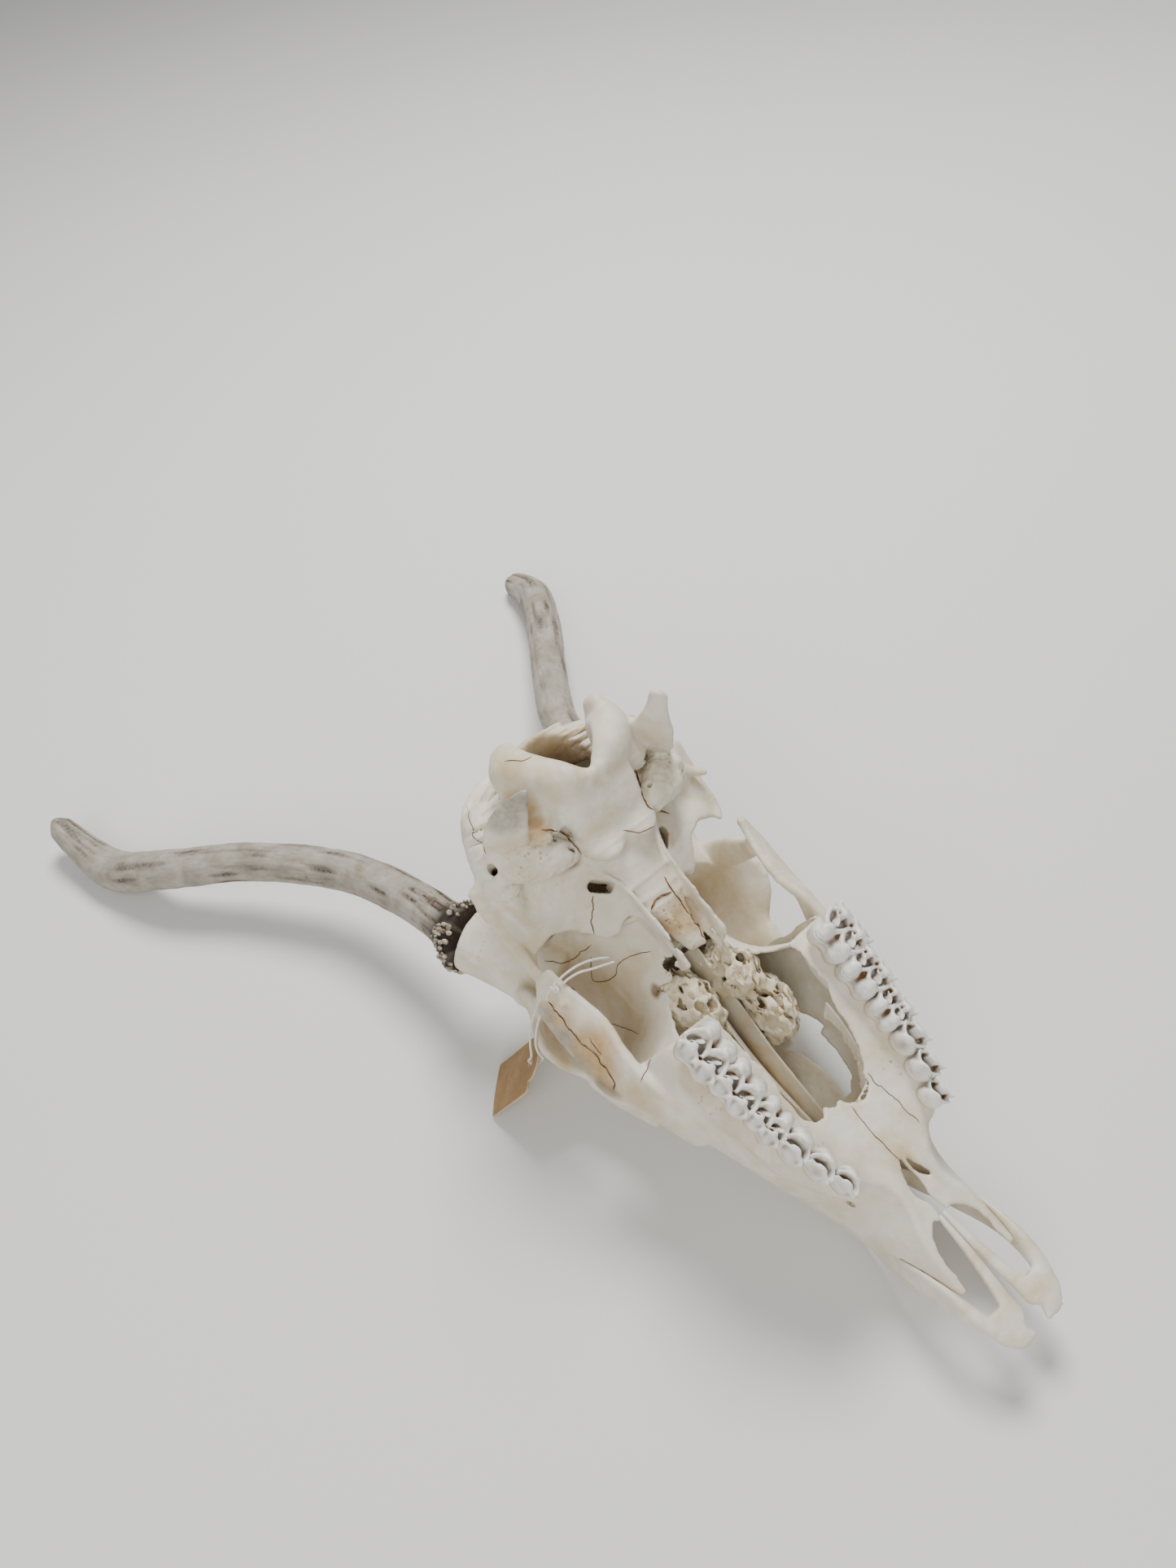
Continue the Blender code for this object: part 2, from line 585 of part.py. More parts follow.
def build():
    clear_scene()
    group = new_collection("fallow_deer_skull")
    bone = new_material("dry_bone", (0.74, 0.68, 0.56), 0.62)
    enamel = new_material("tooth_enamel", (0.80, 0.78, 0.72), 0.35)
    horn = new_material("antler", (0.55, 0.50, 0.42), 0.7)
    kraft = new_material("kraft_card", (0.45, 0.30, 0.17), 0.85)
    cotton = new_material("cotton_string", (0.86, 0.85, 0.80), 0.9)

    skull = fused("skull", face_bones() + cheek_arches() + braincase() + pedicles(), BONE_CELL)
    empties = fused("hollows", hollows(), BONE_CELL)
    skull = cut(skull, [empties, seat_cutter(1), seat_cutter(-1)])
    keep_largest(skull)
    skull = fused("skull", [skull], BONE_CELL * 0.8)
    keep_largest(skull)
    skull = thinned(skull, BONE_FACES)

    premaxilla = make_premaxilla()
    rooms = [swollen(premaxilla, CLEARANCE)]
    premaxillae = [premaxilla, mirrored(premaxilla)]
    premaxillae[1].name = "premaxilla_left"
    rooms.append(swollen(premaxillae[1], CLEARANCE))
    teeth = []
    for number, sizes in enumerate(TEETH, start=1):
        right = make_tooth(f"tooth_right_{number}", *sizes)
        left = mirrored(right)
        left.name = f"tooth_left_{number}"
        teeth += [right, left]
        rooms += [swollen(right, CLEARANCE), swollen(left, CLEARANCE)]
    skull = cut(skull, rooms)
    keep_largest(skull)
    turn = make_string_turn()
    loop = thread("string_loop", STRING_LOOP)
    skull = cut(laid_on_crown(skull), [swollen(turn, CLEARANCE), swollen(loop, CLEARANCE)])

    finish(skull, bone, group)
    for piece in premaxillae:
        finish(laid_on_crown(piece), bone, group)
    for piece in teeth:
        finish(laid_on_crown(piece), enamel, group)
    finish(laid_on_crown(make_spike("antler_right", SPIKE_RIGHT, 1)), horn, group)
    finish(laid_on_crown(make_spike("antler_left", SPIKE_LEFT, -1)), horn, group)
    finish(make_tag(), kraft, group)
    finish(turn, cotton, group)
    finish(loop, cotton, group)
    finish(thread("string_end_upper", STRING_END_UPPER), cotton, group)
    finish(thread("string_end_lower", STRING_END_LOWER), cotton, group)


build()
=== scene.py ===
"""Skull of a young fallow buck with spike antlers, cleaned and dried, lying on its crown.

Bones are drawn in the skull's own axes, in millimetres: x to the deer's right,
y from the snout's tip to the back of the head, z from the crown to the palate.
The tag and its string are drawn in floor axes, in millimetres from below the
snout's tip. on_crown and on_floor take either to the metres of the frame.
"""

import math

import bpy
import numpy as np
from mathutils import Matrix, Vector
from mathutils.bvhtree import BVHTree


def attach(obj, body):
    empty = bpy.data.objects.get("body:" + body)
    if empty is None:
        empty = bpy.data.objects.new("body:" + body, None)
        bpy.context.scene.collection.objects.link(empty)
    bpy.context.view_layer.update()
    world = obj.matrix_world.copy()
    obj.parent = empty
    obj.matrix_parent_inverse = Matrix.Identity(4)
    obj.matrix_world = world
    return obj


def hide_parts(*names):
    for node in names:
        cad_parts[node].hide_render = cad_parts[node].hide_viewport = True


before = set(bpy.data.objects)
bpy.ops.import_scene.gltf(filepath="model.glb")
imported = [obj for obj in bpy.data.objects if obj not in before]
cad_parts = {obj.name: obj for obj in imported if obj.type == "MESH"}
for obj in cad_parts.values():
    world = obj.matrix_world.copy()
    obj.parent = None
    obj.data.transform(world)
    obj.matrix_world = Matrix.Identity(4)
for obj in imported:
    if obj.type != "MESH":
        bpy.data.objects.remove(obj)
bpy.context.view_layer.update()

MM = 0.001
PITCH = math.radians(29.5)
FLOOR_DROP = 15.4
MIDDLE = np.array([-5.4, 221.05, 0.0])
FAR = 9.0                      # mm, the distance given to a cell that nothing is near
EMPTY = 0.3                    # mm, the least distance on a box's outer cells, so that every skin closes
LEAST_RADIUS = 0.2             # mm, of a limb
EGG_CORE = 0.05                # the part of an egg's radius where its slope is no longer read
RELAX = 0.4                    # how far a round of smoothing moves a point towards its neighbours' mean
CRACK_JUMP = 0.003             # m, a step between two sight lines' ends that breaks a crack
BONE_CELL = 0.7
FINE_CELL = 0.4


def on_floor(points):
    """Floor axes in mm to the frame in m."""
    return (np.asarray(points, float) - MIDDLE) * MM


def on_crown(points):
    """Skull axes in mm to the frame in m: turned by the pitch about x, lifted, then centred."""
    points = np.asarray(points, float)
    cosine, sine = math.cos(PITCH), math.sin(PITCH)
    turned = np.stack([points[..., 0], cosine * points[..., 1] - sine * points[..., 2],
                       sine * points[..., 1] + cosine * points[..., 2] + FLOOR_DROP], -1)
    return on_floor(turned)


# The camera stands over the left cheek, as in the photograph

def camera():
    """A lens of 27.5 mm on a frame 36 mm high."""
    right = Vector((0.75126, -0.64871, -0.1216)).normalized()
    ahead = Vector((0.36981, 0.56633, -0.73655)).normalized()
    up = right.cross(ahead)
    data = bpy.data.cameras.new("camera")
    data.sensor_fit = "VERTICAL"
    data.sensor_height = 36
    data.lens = 27.5268
    data.clip_start = 0.01
    eye = bpy.data.objects.new("camera", data)
    turn = Matrix((right, up, -ahead)).transposed().to_4x4()
    eye.matrix_world = Matrix.Translation((-0.14053, -0.24939, 0.40719)) @ turn
    bpy.context.scene.collection.objects.link(eye)
    bpy.context.scene.camera = eye


# Curves, surfaces and noise

def through(rows, steps):
    """Catmull-Rom curve through the rows, each span cut into the given number of steps."""
    rows = np.asarray(rows, float)
    if len(rows) == 2:
        t = np.linspace(0, 1, steps + 1).reshape((-1,) + (1,) * (rows.ndim - 1))
        return rows[0] * (1 - t) + rows[1] * t
    ends = np.concatenate([2 * rows[:1] - rows[1:2], rows, 2 * rows[-1:] - rows[-2:-1]])
    span = np.arange(len(rows) - 1).repeat(steps)
    t = np.tile(np.arange(steps) / steps, len(rows) - 1).reshape((-1,) + (1,) * (rows.ndim - 1))
    a, b, c, d = (ends[span + k] for k in range(4))
    square, cube = 2 * a - 5 * b + 4 * c - d, 3 * b - a - 3 * c + d
    return np.concatenate([0.5 * (2 * b + (c - a) * t + square * t ** 2 + cube * t ** 3), rows[-1:]])


def evenly(points, count):
    """The polyline's points again, evenly spaced along it."""
    points = np.asarray(points, float)
    run = np.concatenate([[0], np.cumsum(np.linalg.norm(np.diff(points[:, :3], axis=0), axis=1))])
    wanted = np.linspace(0, run[-1], count)
    return np.stack([np.interp(wanted, run, points[:, k]) for k in range(points.shape[1])], 1)


def corners(low, part):
    """The eight corners of the cell round each point, and the share that each has in the point's value."""
    for corner in range(8):
        bits = np.array([corner & 1, corner >> 1 & 1, corner >> 2 & 1])
        yield low + bits, np.where(bits, part, 1 - part).prod(1)


def lattice(points, size, seed):
    """Smooth value noise from -1 to 1: hashed values on a lattice of that size, eased between."""
    scaled = np.asarray(points, np.float32) / np.float32(size)
    floor = np.floor(scaled).astype(np.int64)
    part = scaled - floor
    part = part * part * (3 - 2 * part)
    total = np.zeros(len(scaled), np.float32)
    for at, weight in corners(floor, part):
        hashed = at[:, 0] * 73856093 ^ at[:, 1] * 19349663 ^ at[:, 2] * 83492791 ^ (seed * 26544357)
        hashed = (hashed ^ (hashed >> 13)) * 1274126177
        total += (((hashed ^ (hashed >> 16)) & 65535).astype(np.float32) / 32767.5 - 1) * weight
    return total


def rough(points, size, seed, layers=3):
    """Lattice noise in layers, each half the size and half the height of the last."""
    return sum(lattice(points, size / 2 ** k, seed + k) / 2 ** k for k in range(layers)) / 1.6


# Bones as distance fields

def egg(parts, radii, depth, power=2.0):
    """About how far points are from an egg's skin: q (q - 1) over q's slope, q being their size in radii."""
    scaled = [part / radius for part, radius in zip(parts, radii)]
    q = sum(np.abs(part) ** power for part in scaled) ** (1 / power)
    slope = np.sqrt(sum((part / radius) ** 2 for part, radius in zip(scaled, radii)))
    return np.where(q < EGG_CORE, -depth, q * (q - 1) / np.maximum(slope, 1e-3)).astype(np.float32)


class Field:
    """Distances in mm on a box of cells, below nought inside the bone."""

    def __init__(self, low, high, cell):
        self.low = np.array(low, np.float32)
        self.cell = np.float32(cell)
        self.shape = tuple(int(math.ceil((b - a) / cell)) + 1 for a, b in zip(low, high))
        self.values = np.full(self.shape, FAR, np.float32)

    def block(self, low, high):
        """Slices and open coordinate grids of the cells in a box."""
        first = np.maximum(np.floor((np.asarray(low) - self.low) / self.cell).astype(int), 0)
        last = np.minimum(np.ceil((np.asarray(high) - self.low) / self.cell).astype(int) + 1, self.shape)
        last = np.maximum(last, first)
        spans = tuple(slice(a, b) for a, b in zip(first, last))
        axes = [self.low[k] + self.cell * np.arange(first[k], last[k], dtype=np.float32) for k in range(3)]
        return spans, np.meshgrid(*axes, indexing="ij", sparse=True)

    def axes(self):
        """Open coordinate grids of all the cells."""
        return self.block(self.low, self.low + self.cell * np.array(self.shape))[1]

    def join(self, spans, shape, blend, carve=False):
        """Smooth union, or difference where it carves, with the crease filled over the blend's width."""
        sign = -1 if carve else 1
        here = sign * self.values[spans]
        near = np.maximum(blend - np.abs(here - shape), 0) / blend if blend else 0
        self.values[spans] = sign * (np.minimum(here, shape) - near * near * blend * 0.25)

    def limb(self, stations, side=(1, 0, 0), blend=2.0, carve=False, mirror=False, steps=4, square=2.0,
             cap=1.2):
        """An elliptic tube along a smooth curve: stations are x, y, z, half-width along side, half-height.

        Its ends bulge out by the cap's length at most.
        """
        rows = through(stations, steps)
        for flip in ((1, -1) if mirror else (1,)):
            line = rows.copy()
            line[:, 0] *= flip
            tilt = np.array(side, float) * (flip, 1, 1)
            reach = rows[:, 3:5].max() + blend + 2 * self.cell
            spans, (x, y, z) = self.block(line[:, :3].min(0) - reach, line[:, :3].max(0) + reach)
            if 0 in self.values[spans].shape:
                continue
            best = np.full(self.values[spans].shape, np.inf, np.float32)
            where = np.zeros(best.shape, np.float32)
            over = np.zeros(best.shape, np.float32)
            for index in range(len(line) - 1):
                start, step = line[index, :3], line[index + 1, :3] - line[index, :3]
                length = float(step @ step)
                if length < 1e-9:
                    continue
                dx, dy, dz = x - start[0], y - start[1], z - start[2]
                raw = (dx * step[0] + dy * step[1] + dz * step[2]) / length
                t = np.clip(raw, 0, 1)
                away = (dx - t * step[0]) ** 2 + (dy - t * step[1]) ** 2 + (dz - t * step[2]) ** 2
                closer = away < best
                best[closer] = away[closer]
                where[closer] = (index + t)[closer]
                over[closer] = ((raw - t) * math.sqrt(length))[closer]
            along = np.gradient(line[:, :3], axis=0)
            along /= np.linalg.norm(along, axis=1)[:, None]
            across = tilt - (along @ tilt)[:, None] * along
            across /= np.linalg.norm(across, axis=1)[:, None]
            table = np.concatenate([line[:, :5], across, np.cross(along, across)], 1).astype(np.float32)
            low = np.minimum(where.astype(np.int32), len(line) - 2)
            part = where - low
            here = [table[low, k] * (1 - part) + table[low + 1, k] * part for k in range(table.shape[1])]
            off = [x - here[0], y - here[1], z - here[2]]
            wide, high = np.maximum(here[3], LEAST_RADIUS), np.maximum(here[4], LEAST_RADIUS)
            u = off[0] * here[5] + off[1] * here[6] + off[2] * here[7]
            v = off[0] * here[8] + off[1] * here[9] + off[2] * here[10]
            end = np.minimum(np.minimum(wide, high), cap)
            self.join(spans, egg((u, v, over), (wide, high, end), end, square), blend, carve)

    def ball(self, centre, radii, blend=2.0, carve=False, mirror=False, turn=0.0):
        """An ellipsoid, turned in degrees about x."""
        cosine, sine = math.cos(math.radians(turn)), math.sin(math.radians(turn))
        for flip in ((1, -1) if mirror else (1,)):
            middle = np.array(centre, float) * (flip, 1, 1)
            reach = max(radii) + blend + 2 * self.cell
            spans, (x, y, z) = self.block(middle - reach, middle + reach)
            if 0 in self.values[spans].shape:
                continue
            dy, dz = y - middle[1], z - middle[2]
            parts = (x - middle[0], dy * cosine + dz * sine, dz * cosine - dy * sine)
            self.join(spans, egg(parts, radii, min(radii)), blend, carve)

    def sheet(self, rows, half=0.8, blend=1.2, keep=None, mirror=False):
        """A curved wall: a smooth surface through a grid of points, swept by a ball of the half thickness.

        A point may carry its own half thickness as a fourth number. keep takes the surface's points
        and says which of them stay.
        """
        grid = np.array([[(*p, half) if len(p) == 3 else p for p in row] for row in rows], float)
        gap = 0.62 * self.cell
        longest = [np.linalg.norm(np.diff(grid[..., :3], axis=k), axis=-1).max() for k in (0, 1)]
        dense = through(grid, max(2, int(longest[0] / gap)))
        dense = through(dense.transpose(1, 0, 2), max(2, int(longest[1] / gap)))
        cloud = dense.reshape(-1, 4)
        cells = np.rint(cloud[:, :3] / (0.5 * self.cell)).astype(np.int32)
        cloud = cloud[np.unique(cells, axis=0, return_index=True)[1]]
        for flip in ((1, -1) if mirror else (1,)):
            points = cloud * (flip, 1, 1, 1)
            if keep is not None:
                points = points[keep(points[:, :3])]
            points = points.astype(np.float32)
            thickest = float(points[:, 3].max())
            reach = thickest + blend + self.cell
            spans, _ = self.block(points[:, :3].min(0) - reach, points[:, :3].max(0) + reach)
            shape = np.full(self.values[spans].shape, FAR, np.float32)
            corner = self.low + self.cell * np.array([s.start for s in spans], np.float32)
            scaled = (points[:, :3] - corner) / self.cell
            base = np.rint(scaled).astype(np.int32)
            size = np.array(shape.shape)
            flat = shape.reshape(-1)
            steps = int(math.ceil((thickest + min(blend, 1.5)) / self.cell))
            for offset in np.ndindex((2 * steps + 1,) * 3):
                offset = np.array(offset) - steps
                if offset @ offset > (steps + 0.6) ** 2:
                    continue
                cell = base + offset
                inside = ((cell >= 0) & (cell < size)).all(1)
                near = cell[inside]
                away = np.sqrt((((near - scaled[inside]) * self.cell) ** 2).sum(1)) - points[inside, 3]
                np.minimum.at(flat, (near[:, 0] * size[1] + near[:, 1]) * size[2] + near[:, 2], away)
            self.join(spans, shape, blend)

    def crowd(self, reach):
        """How full of bone each cell's surroundings are, 0 to 1: the inside, box-blurred twice each way."""
        full = (self.values < 0).astype(np.float32)
        half = max(1, int(reach / self.cell / 2))
        for axis in (0, 0, 1, 1, 2, 2):
            pad = [(0, 0)] * 3
            pad[axis] = (half + 1, half)
            run = np.moveaxis(np.cumsum(np.pad(full, pad, mode="edge"), axis=axis, dtype=np.float32), axis, 0)
            full = np.moveaxis((run[2 * half + 1:] - run[:-2 * half - 1]) / (2 * half + 1), 0, axis)
        return full

    def read(self, grid, points):
        """Values of a grid of cells at points, read straight between the cells."""
        scaled = (np.asarray(points, np.float32) - self.low) / self.cell
        scaled = np.clip(scaled, 0, np.array(self.shape) - 1.001)
        low = scaled.astype(np.int32)
        total = np.zeros(len(scaled), np.float32)
        for at, weight in corners(low, scaled - low):
            total += grid[at[:, 0], at[:, 1], at[:, 2]] * weight
        return total

    def skin(self, values):
        """The nought surface as quads: each crossed cell has one point, the mean of its crossed edges."""
        values = values.astype(np.float32)
        for axis in range(3):
            edge = [slice(None)] * 3
            for side in (0, -1):
                edge[axis] = side
                values[tuple(edge)] = np.maximum(values[tuple(edge)], EMPTY)
        inside = values < 0
        _, ny, nz = values.shape
        cells, places, quads = [], [], []
        for axis in range(3):
            lower = [slice(None)] * 3
            upper = [slice(None)] * 3
            lower[axis], upper[axis] = slice(0, -1), slice(1, None)
            start = np.stack(np.nonzero(inside[tuple(lower)] != inside[tuple(upper)]), 1)
            end = start + np.eye(3, dtype=int)[axis]
            near = values[start[:, 0], start[:, 1], start[:, 2]]
            beyond = values[end[:, 0], end[:, 1], end[:, 2]]
            place = start.astype(np.float32)
            place[:, axis] += near / (near - beyond)
            ring = []
            for back in ((0, 0), (1, 0), (1, 1), (0, 1)):
                cell = start.copy()
                cell[:, (axis + 1) % 3] -= back[0]
                cell[:, (axis + 2) % 3] -= back[1]
                ring.append((cell[:, 0] * ny + cell[:, 1]) * nz + cell[:, 2])
                places.append(place)
            cells += ring
            ring = np.stack(ring, 1)
            ring[near > 0] = ring[near > 0][:, ::-1]
            quads.append(ring)
        cells, places, quads = np.concatenate(cells), np.concatenate(places), np.concatenate(quads)
        used, back = np.unique(cells, return_inverse=True)
        count = np.bincount(back)
        points = np.stack([np.bincount(back, places[:, k]) / count for k in range(3)], 1)
        faces = np.searchsorted(used, quads)
        return self.low + self.cell * points.astype(np.float32), faces[:, ::-1]


def all_points(x, y, z):
    """The points of three open grids, one to a row."""
    return np.stack(np.broadcast_arrays(x, y, z), -1).reshape(-1, 3)


def relaxed(points, faces, rounds):
    """Each point moved part of the way to the mean of its neighbours along the quads' edges."""
    start = faces.reshape(-1)
    stop = np.roll(faces, -1, 1).reshape(-1)
    count = np.bincount(start, minlength=len(points)) + np.bincount(stop, minlength=len(points))
    for _ in range(rounds):
        mean = np.stack([np.bincount(start, points[stop, k], len(points))
                         + np.bincount(stop, points[start, k], len(points)) for k in range(3)], 1)
        points = points * (1 - RELAX) + mean / count[:, None] * RELAX
    return points


# Meshes

def new_piece(name, points, faces, material, nodes, smooth=True):
    """A mesh object from points in metres that rides on the root body.

    Its faces come in arrays, one for each number of corners.
    """
    corner = np.concatenate([part.reshape(-1) for part in faces]).astype(np.int32)
    sizes = np.concatenate([np.full(len(part), part.shape[1]) for part in faces])
    data = bpy.data.meshes.new(name)
    data.vertices.add(len(points))
    data.vertices.foreach_set("co", np.asarray(points, np.float32).reshape(-1))
    data.loops.add(len(corner))
    data.loops.foreach_set("vertex_index", corner)
    data.polygons.add(len(sizes))
    data.polygons.foreach_set("loop_start", (np.cumsum(sizes) - sizes).astype(np.int32))
    data.update(calc_edges=True)
    data.polygons.foreach_set("use_smooth", np.full(len(sizes), smooth))
    data.materials.append(material)
    piece = bpy.data.objects.new(name, data)
    bpy.context.scene.collection.objects.link(piece)
    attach(piece, "root")
    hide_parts(*nodes)
    return piece


def paint(piece, name, values):
    """A number on each point of the piece, for its material."""
    layer = piece.data.attributes.new(name, "FLOAT", "POINT")
    layer.data.foreach_set("value", np.asarray(values, np.float32))


def skinned(name, field, values, rounds, material, nodes, sign=1):
    """A piece from a field's relaxed skin, mirrored where the sign is below nought, and the skin's points."""
    points, faces = field.skin(values)
    points = relaxed(points, faces, rounds)
    piece = new_piece(name, on_crown(points * (sign, 1, 1)), [faces[:, ::sign]], material, nodes)
    return piece, points


def frames_along(line, guess):
    """Unit vectors along a line, across it and beside it, carried on from a first guess without a twist."""
    along = np.gradient(line, axis=0)
    along /= np.linalg.norm(along, axis=1)[:, None]
    across = np.zeros_like(along)
    carried = np.cross(along[0], guess)
    for index, ahead in enumerate(along):
        carried = carried - (carried @ ahead) * ahead
        carried /= np.linalg.norm(carried)
        across[index] = carried
    return along, across, np.cross(along, across)


def around(angle, across, beside):
    """Unit vectors at the angles round each point of a line."""
    return np.cos(angle)[:, None] * across[:, None] + np.sin(angle)[:, None] * beside[:, None]


def ring_quads(here):
    """Quads between neighbouring rings of point numbers, each ring closed on itself."""
    there = np.roll(here, -1, 1)
    return np.stack([here[:-1], there[:-1], there[1:], here[1:]], -1).reshape(-1, 4)


def capped(rings, line):
    """The points and faces of rings along a line, closed at the line's two ends."""
    count, sides = rings.shape[:2]
    here = np.arange(count * sides).reshape(count, sides)
    there = np.roll(here, -1, 1)
    near = np.stack([there[0], here[0], np.full(sides, count * sides)], -1)
    far = np.stack([here[-1], there[-1], np.full(sides, count * sides + 1)], -1)
    return np.concatenate([rings.reshape(-1, 3), line[:1], line[-1:]]), [ring_quads(here), near, far]


def tube(line, radius, sides, twist=0.0, lobes=0, depth=0.0):
    """Rings carried along a line, closed at both ends.

    A ring's radius is the line's own times 1 - depth + depth * |cos(lobes * angle / 2)|, where the
    angle turns by the twist from one end to the other.
    """
    _, across, beside = frames_along(line, (0.3, 0.2, 0.93))
    angle = np.linspace(0, 2 * math.pi, sides, endpoint=False)
    turn = twist * np.linspace(0, 1, len(line))[:, None]
    swell = 1 - depth + depth * np.abs(np.cos(lobes * (angle + turn) / 2))
    size = np.broadcast_to(radius, (len(line),))[:, None] * swell
    return capped(line[:, None] + size[..., None] * around(angle, across, beside), line)


# Materials

def linear(code):
    """An sRGB hex colour as linear light."""
    parts = [int(code[k:k + 2], 16) / 255 for k in (1, 3, 5)]
    return (*[p / 12.92 if p <= 0.04045 else ((p + 0.055) / 1.055) ** 2.4 for p in parts], 1)


def per_mm(size):
    """The scale of a pattern on Object coordinates whose features are that many mm."""
    return 1000 / size


class Look:
    """A material: coats of colour over one another, each spread by noise, by a painted number or by both."""

    def __init__(self, name, roughness, specular, colour):
        self.material = bpy.data.materials.new(name)
        self.material.use_nodes = True
        self.tree = self.material.node_tree
        self.shader = self.tree.nodes["Principled BSDF"]
        self.join(self.shader, {"Roughness": roughness, "Specular IOR Level": specular})
        self.colour = linear(colour)
        self.place = self.add("TexCoord", {}, "Object")

    def join(self, node, inputs):
        """Sets a node's inputs to numbers, or joins them to other nodes' outputs."""
        for key, value in inputs.items():
            if isinstance(value, bpy.types.NodeSocket):
                self.tree.links.new(value, node.inputs[key])
            else:
                node.inputs[key].default_value = value

    def add(self, kind, inputs, out=0, **settings):
        """One node with its settings and its inputs, as the output that is asked for."""
        node = self.tree.nodes.new("ShaderNode" + kind)
        for key, value in settings.items():
            setattr(node, key, value)
        self.join(node, inputs)
        return node.outputs[out]

    def grain(self, size, detail, roughness, distortion=0.0):
        """The inputs of noise whose features are that many mm."""
        return {"Vector": self.place, "Scale": per_mm(size), "Detail": detail, "Roughness": roughness,
                "Distortion": distortion}

    def spread(self, noise=None, span=(0, 1), reach=(0, 1), painted=None):
        """Noise whose span of values is carried to a reach of strengths, times a painted number."""
        factors = []
        if noise:
            cloud = self.add("TexNoise", self.grain(*noise))
            factors.append(self.add("MapRange", {0: cloud, 1: span[0], 2: span[1], 3: reach[0], 4: reach[1]}))
        if painted:
            factors.append(self.add("Attribute", {}, "Fac", attribute_name=painted))
        if len(factors) == 1:
            return factors[0]
        return self.add("Math", dict(enumerate(factors)), operation="MULTIPLY")

    def coat(self, colour, strength, low=0.0, high=1.0, top=1.0):
        """Lays a colour over the last: none of it where the strength is low, top of it where it is high."""
        share = self.add("MapRange", {0: strength, 1: low, 2: high, 4: top})
        self.colour = self.add("Mix", {0: share, 6: self.colour, 7: linear(colour)}, 2, data_type="RGBA")

    def finish(self, heights=(), strength=0.0, distance=0.0):
        """The material, with its colour joined and a bump from heights and their amounts."""
        self.join(self.shader, {"Base Color": self.colour})
        total = 0.0
        for height, amount in heights:
            total = self.add("Math", {0: height, 1: amount, 2: total}, operation="MULTIPLY_ADD")
        if heights:
            bump = self.add("Bump", {"Height": total, "Strength": strength, "Distance": distance})
            self.join(self.shader, {"Normal": bump})
        return self.material


def dry_bone():
    """Bone, boiled and sun dried: matt ivory with fine pores, tan at spots, painted shade in the hollows and
    holes, grey in places.
    """
    look = Look("dry_bone_cleaned", 0.58, 0.35, "#e6e1d4")
    look.coat("#d8ceb6", look.spread((14, 4, 0.6), (0.35, 0.65)))
    look.coat("#ccb88c", look.spread((30, 5, 0.65, 1.5), (0.5, 0.68)), top=0.65)
    # painted shade: tan where the surroundings are full of bone, in the hollows, together with tan at the
    # listed spots
    look.coat("#b8955f", look.spread((6, 4, 0.6), (0.2, 0.75), (0.65, 1.15), "hollow_shade_and_tan"))
    # painted shade, dark brown to near black, inside holes and the braincase, with one brown stain on the
    # left cheek
    hole_shade_and_stain = look.spread((5, 5, 0.65), (0.25, 0.7), (0.5, 1.2), "hole_shade_and_stain")
    look.coat("#7d5f3c", hole_shade_and_stain)
    look.coat("#2e1b0d", hole_shade_and_stain, 0.95, 1.3)
    # grey: painted shade on the left ear flap, and the grey tone of the left cheek bar
    look.coat("#8b8578", look.spread((3, 5, 0.7), (0.3, 0.7), (0.5, 1.1), "flap_shade_and_grey"))
    pore = look.add("TexVoronoi", {"Vector": look.place, "Scale": per_mm(1.9), "Randomness": 1.0}, "Distance")
    spot = look.add("MapRange", {0: pore, 1: 0.2, 2: 0.34, 3: 1.0, 4: 0.0})
    sparse = look.spread((4, 2, 0.5), (0.4, 0.55), painted="spongy")
    pores = look.add("Math", {0: spot, 1: sparse}, operation="MULTIPLY")
    look.coat("#6a5134", pores, top=0.8)
    fine = look.add("TexNoise", look.grain(0.9, 4, 0.6))
    broad = look.add("TexNoise", look.grain(3.2, 3, 0.5))
    return look.finish([(fine, 0.35), (broad, 0.6), (pores, -0.5)], 0.35, 0.0007)


def crack_shade():
    """Dust and old grease in a crack, with painted shade for its gap: dull dark brown, paler where the crack
    closes.
    """
    look = Look("crack_grime_and_shade", 0.9, 0.1, "#4f3a24")
    look.coat("#8d7250", look.spread((2.2, 3, 0.6), (0.35, 0.65)))
    return look.finish()


def scroll_bone():
    """The paper-thin scrolls inside the nose: tan, with painted shade deeper inside them."""
    look = Look("scroll_bone", 0.7, 0.25, "#efe6d0")
    look.coat("#dccdab", look.spread((5, 4, 0.6), (0.3, 0.7)))
    # painted shade: darker deeper inside the scrolls
    look.coat("#b0905c", look.spread(painted="hollow_shade_and_tan"))
    return look.finish([(look.add("TexNoise", look.grain(0.8, 4, 0.6)), 1.0)], 0.4, 0.0006)


def tooth_enamel():
    """Enamel: glossy white, cream towards the neck, brown in the pits and along the gum line."""
    look = Look("tooth_enamel_worn", 0.28, 0.5, "#ece9e2")
    look.coat("#dedacf", look.spread((4, 3, 0.55), (0.35, 0.7)))
    look.coat("#cdb78f", look.spread(painted="neck"))
    look.coat("#6b4a22", look.spread(painted="pit"))
    return look.finish([(look.add("TexNoise", look.grain(1.1, 3, 0.5)), 1.0)], 0.25, 0.0004)


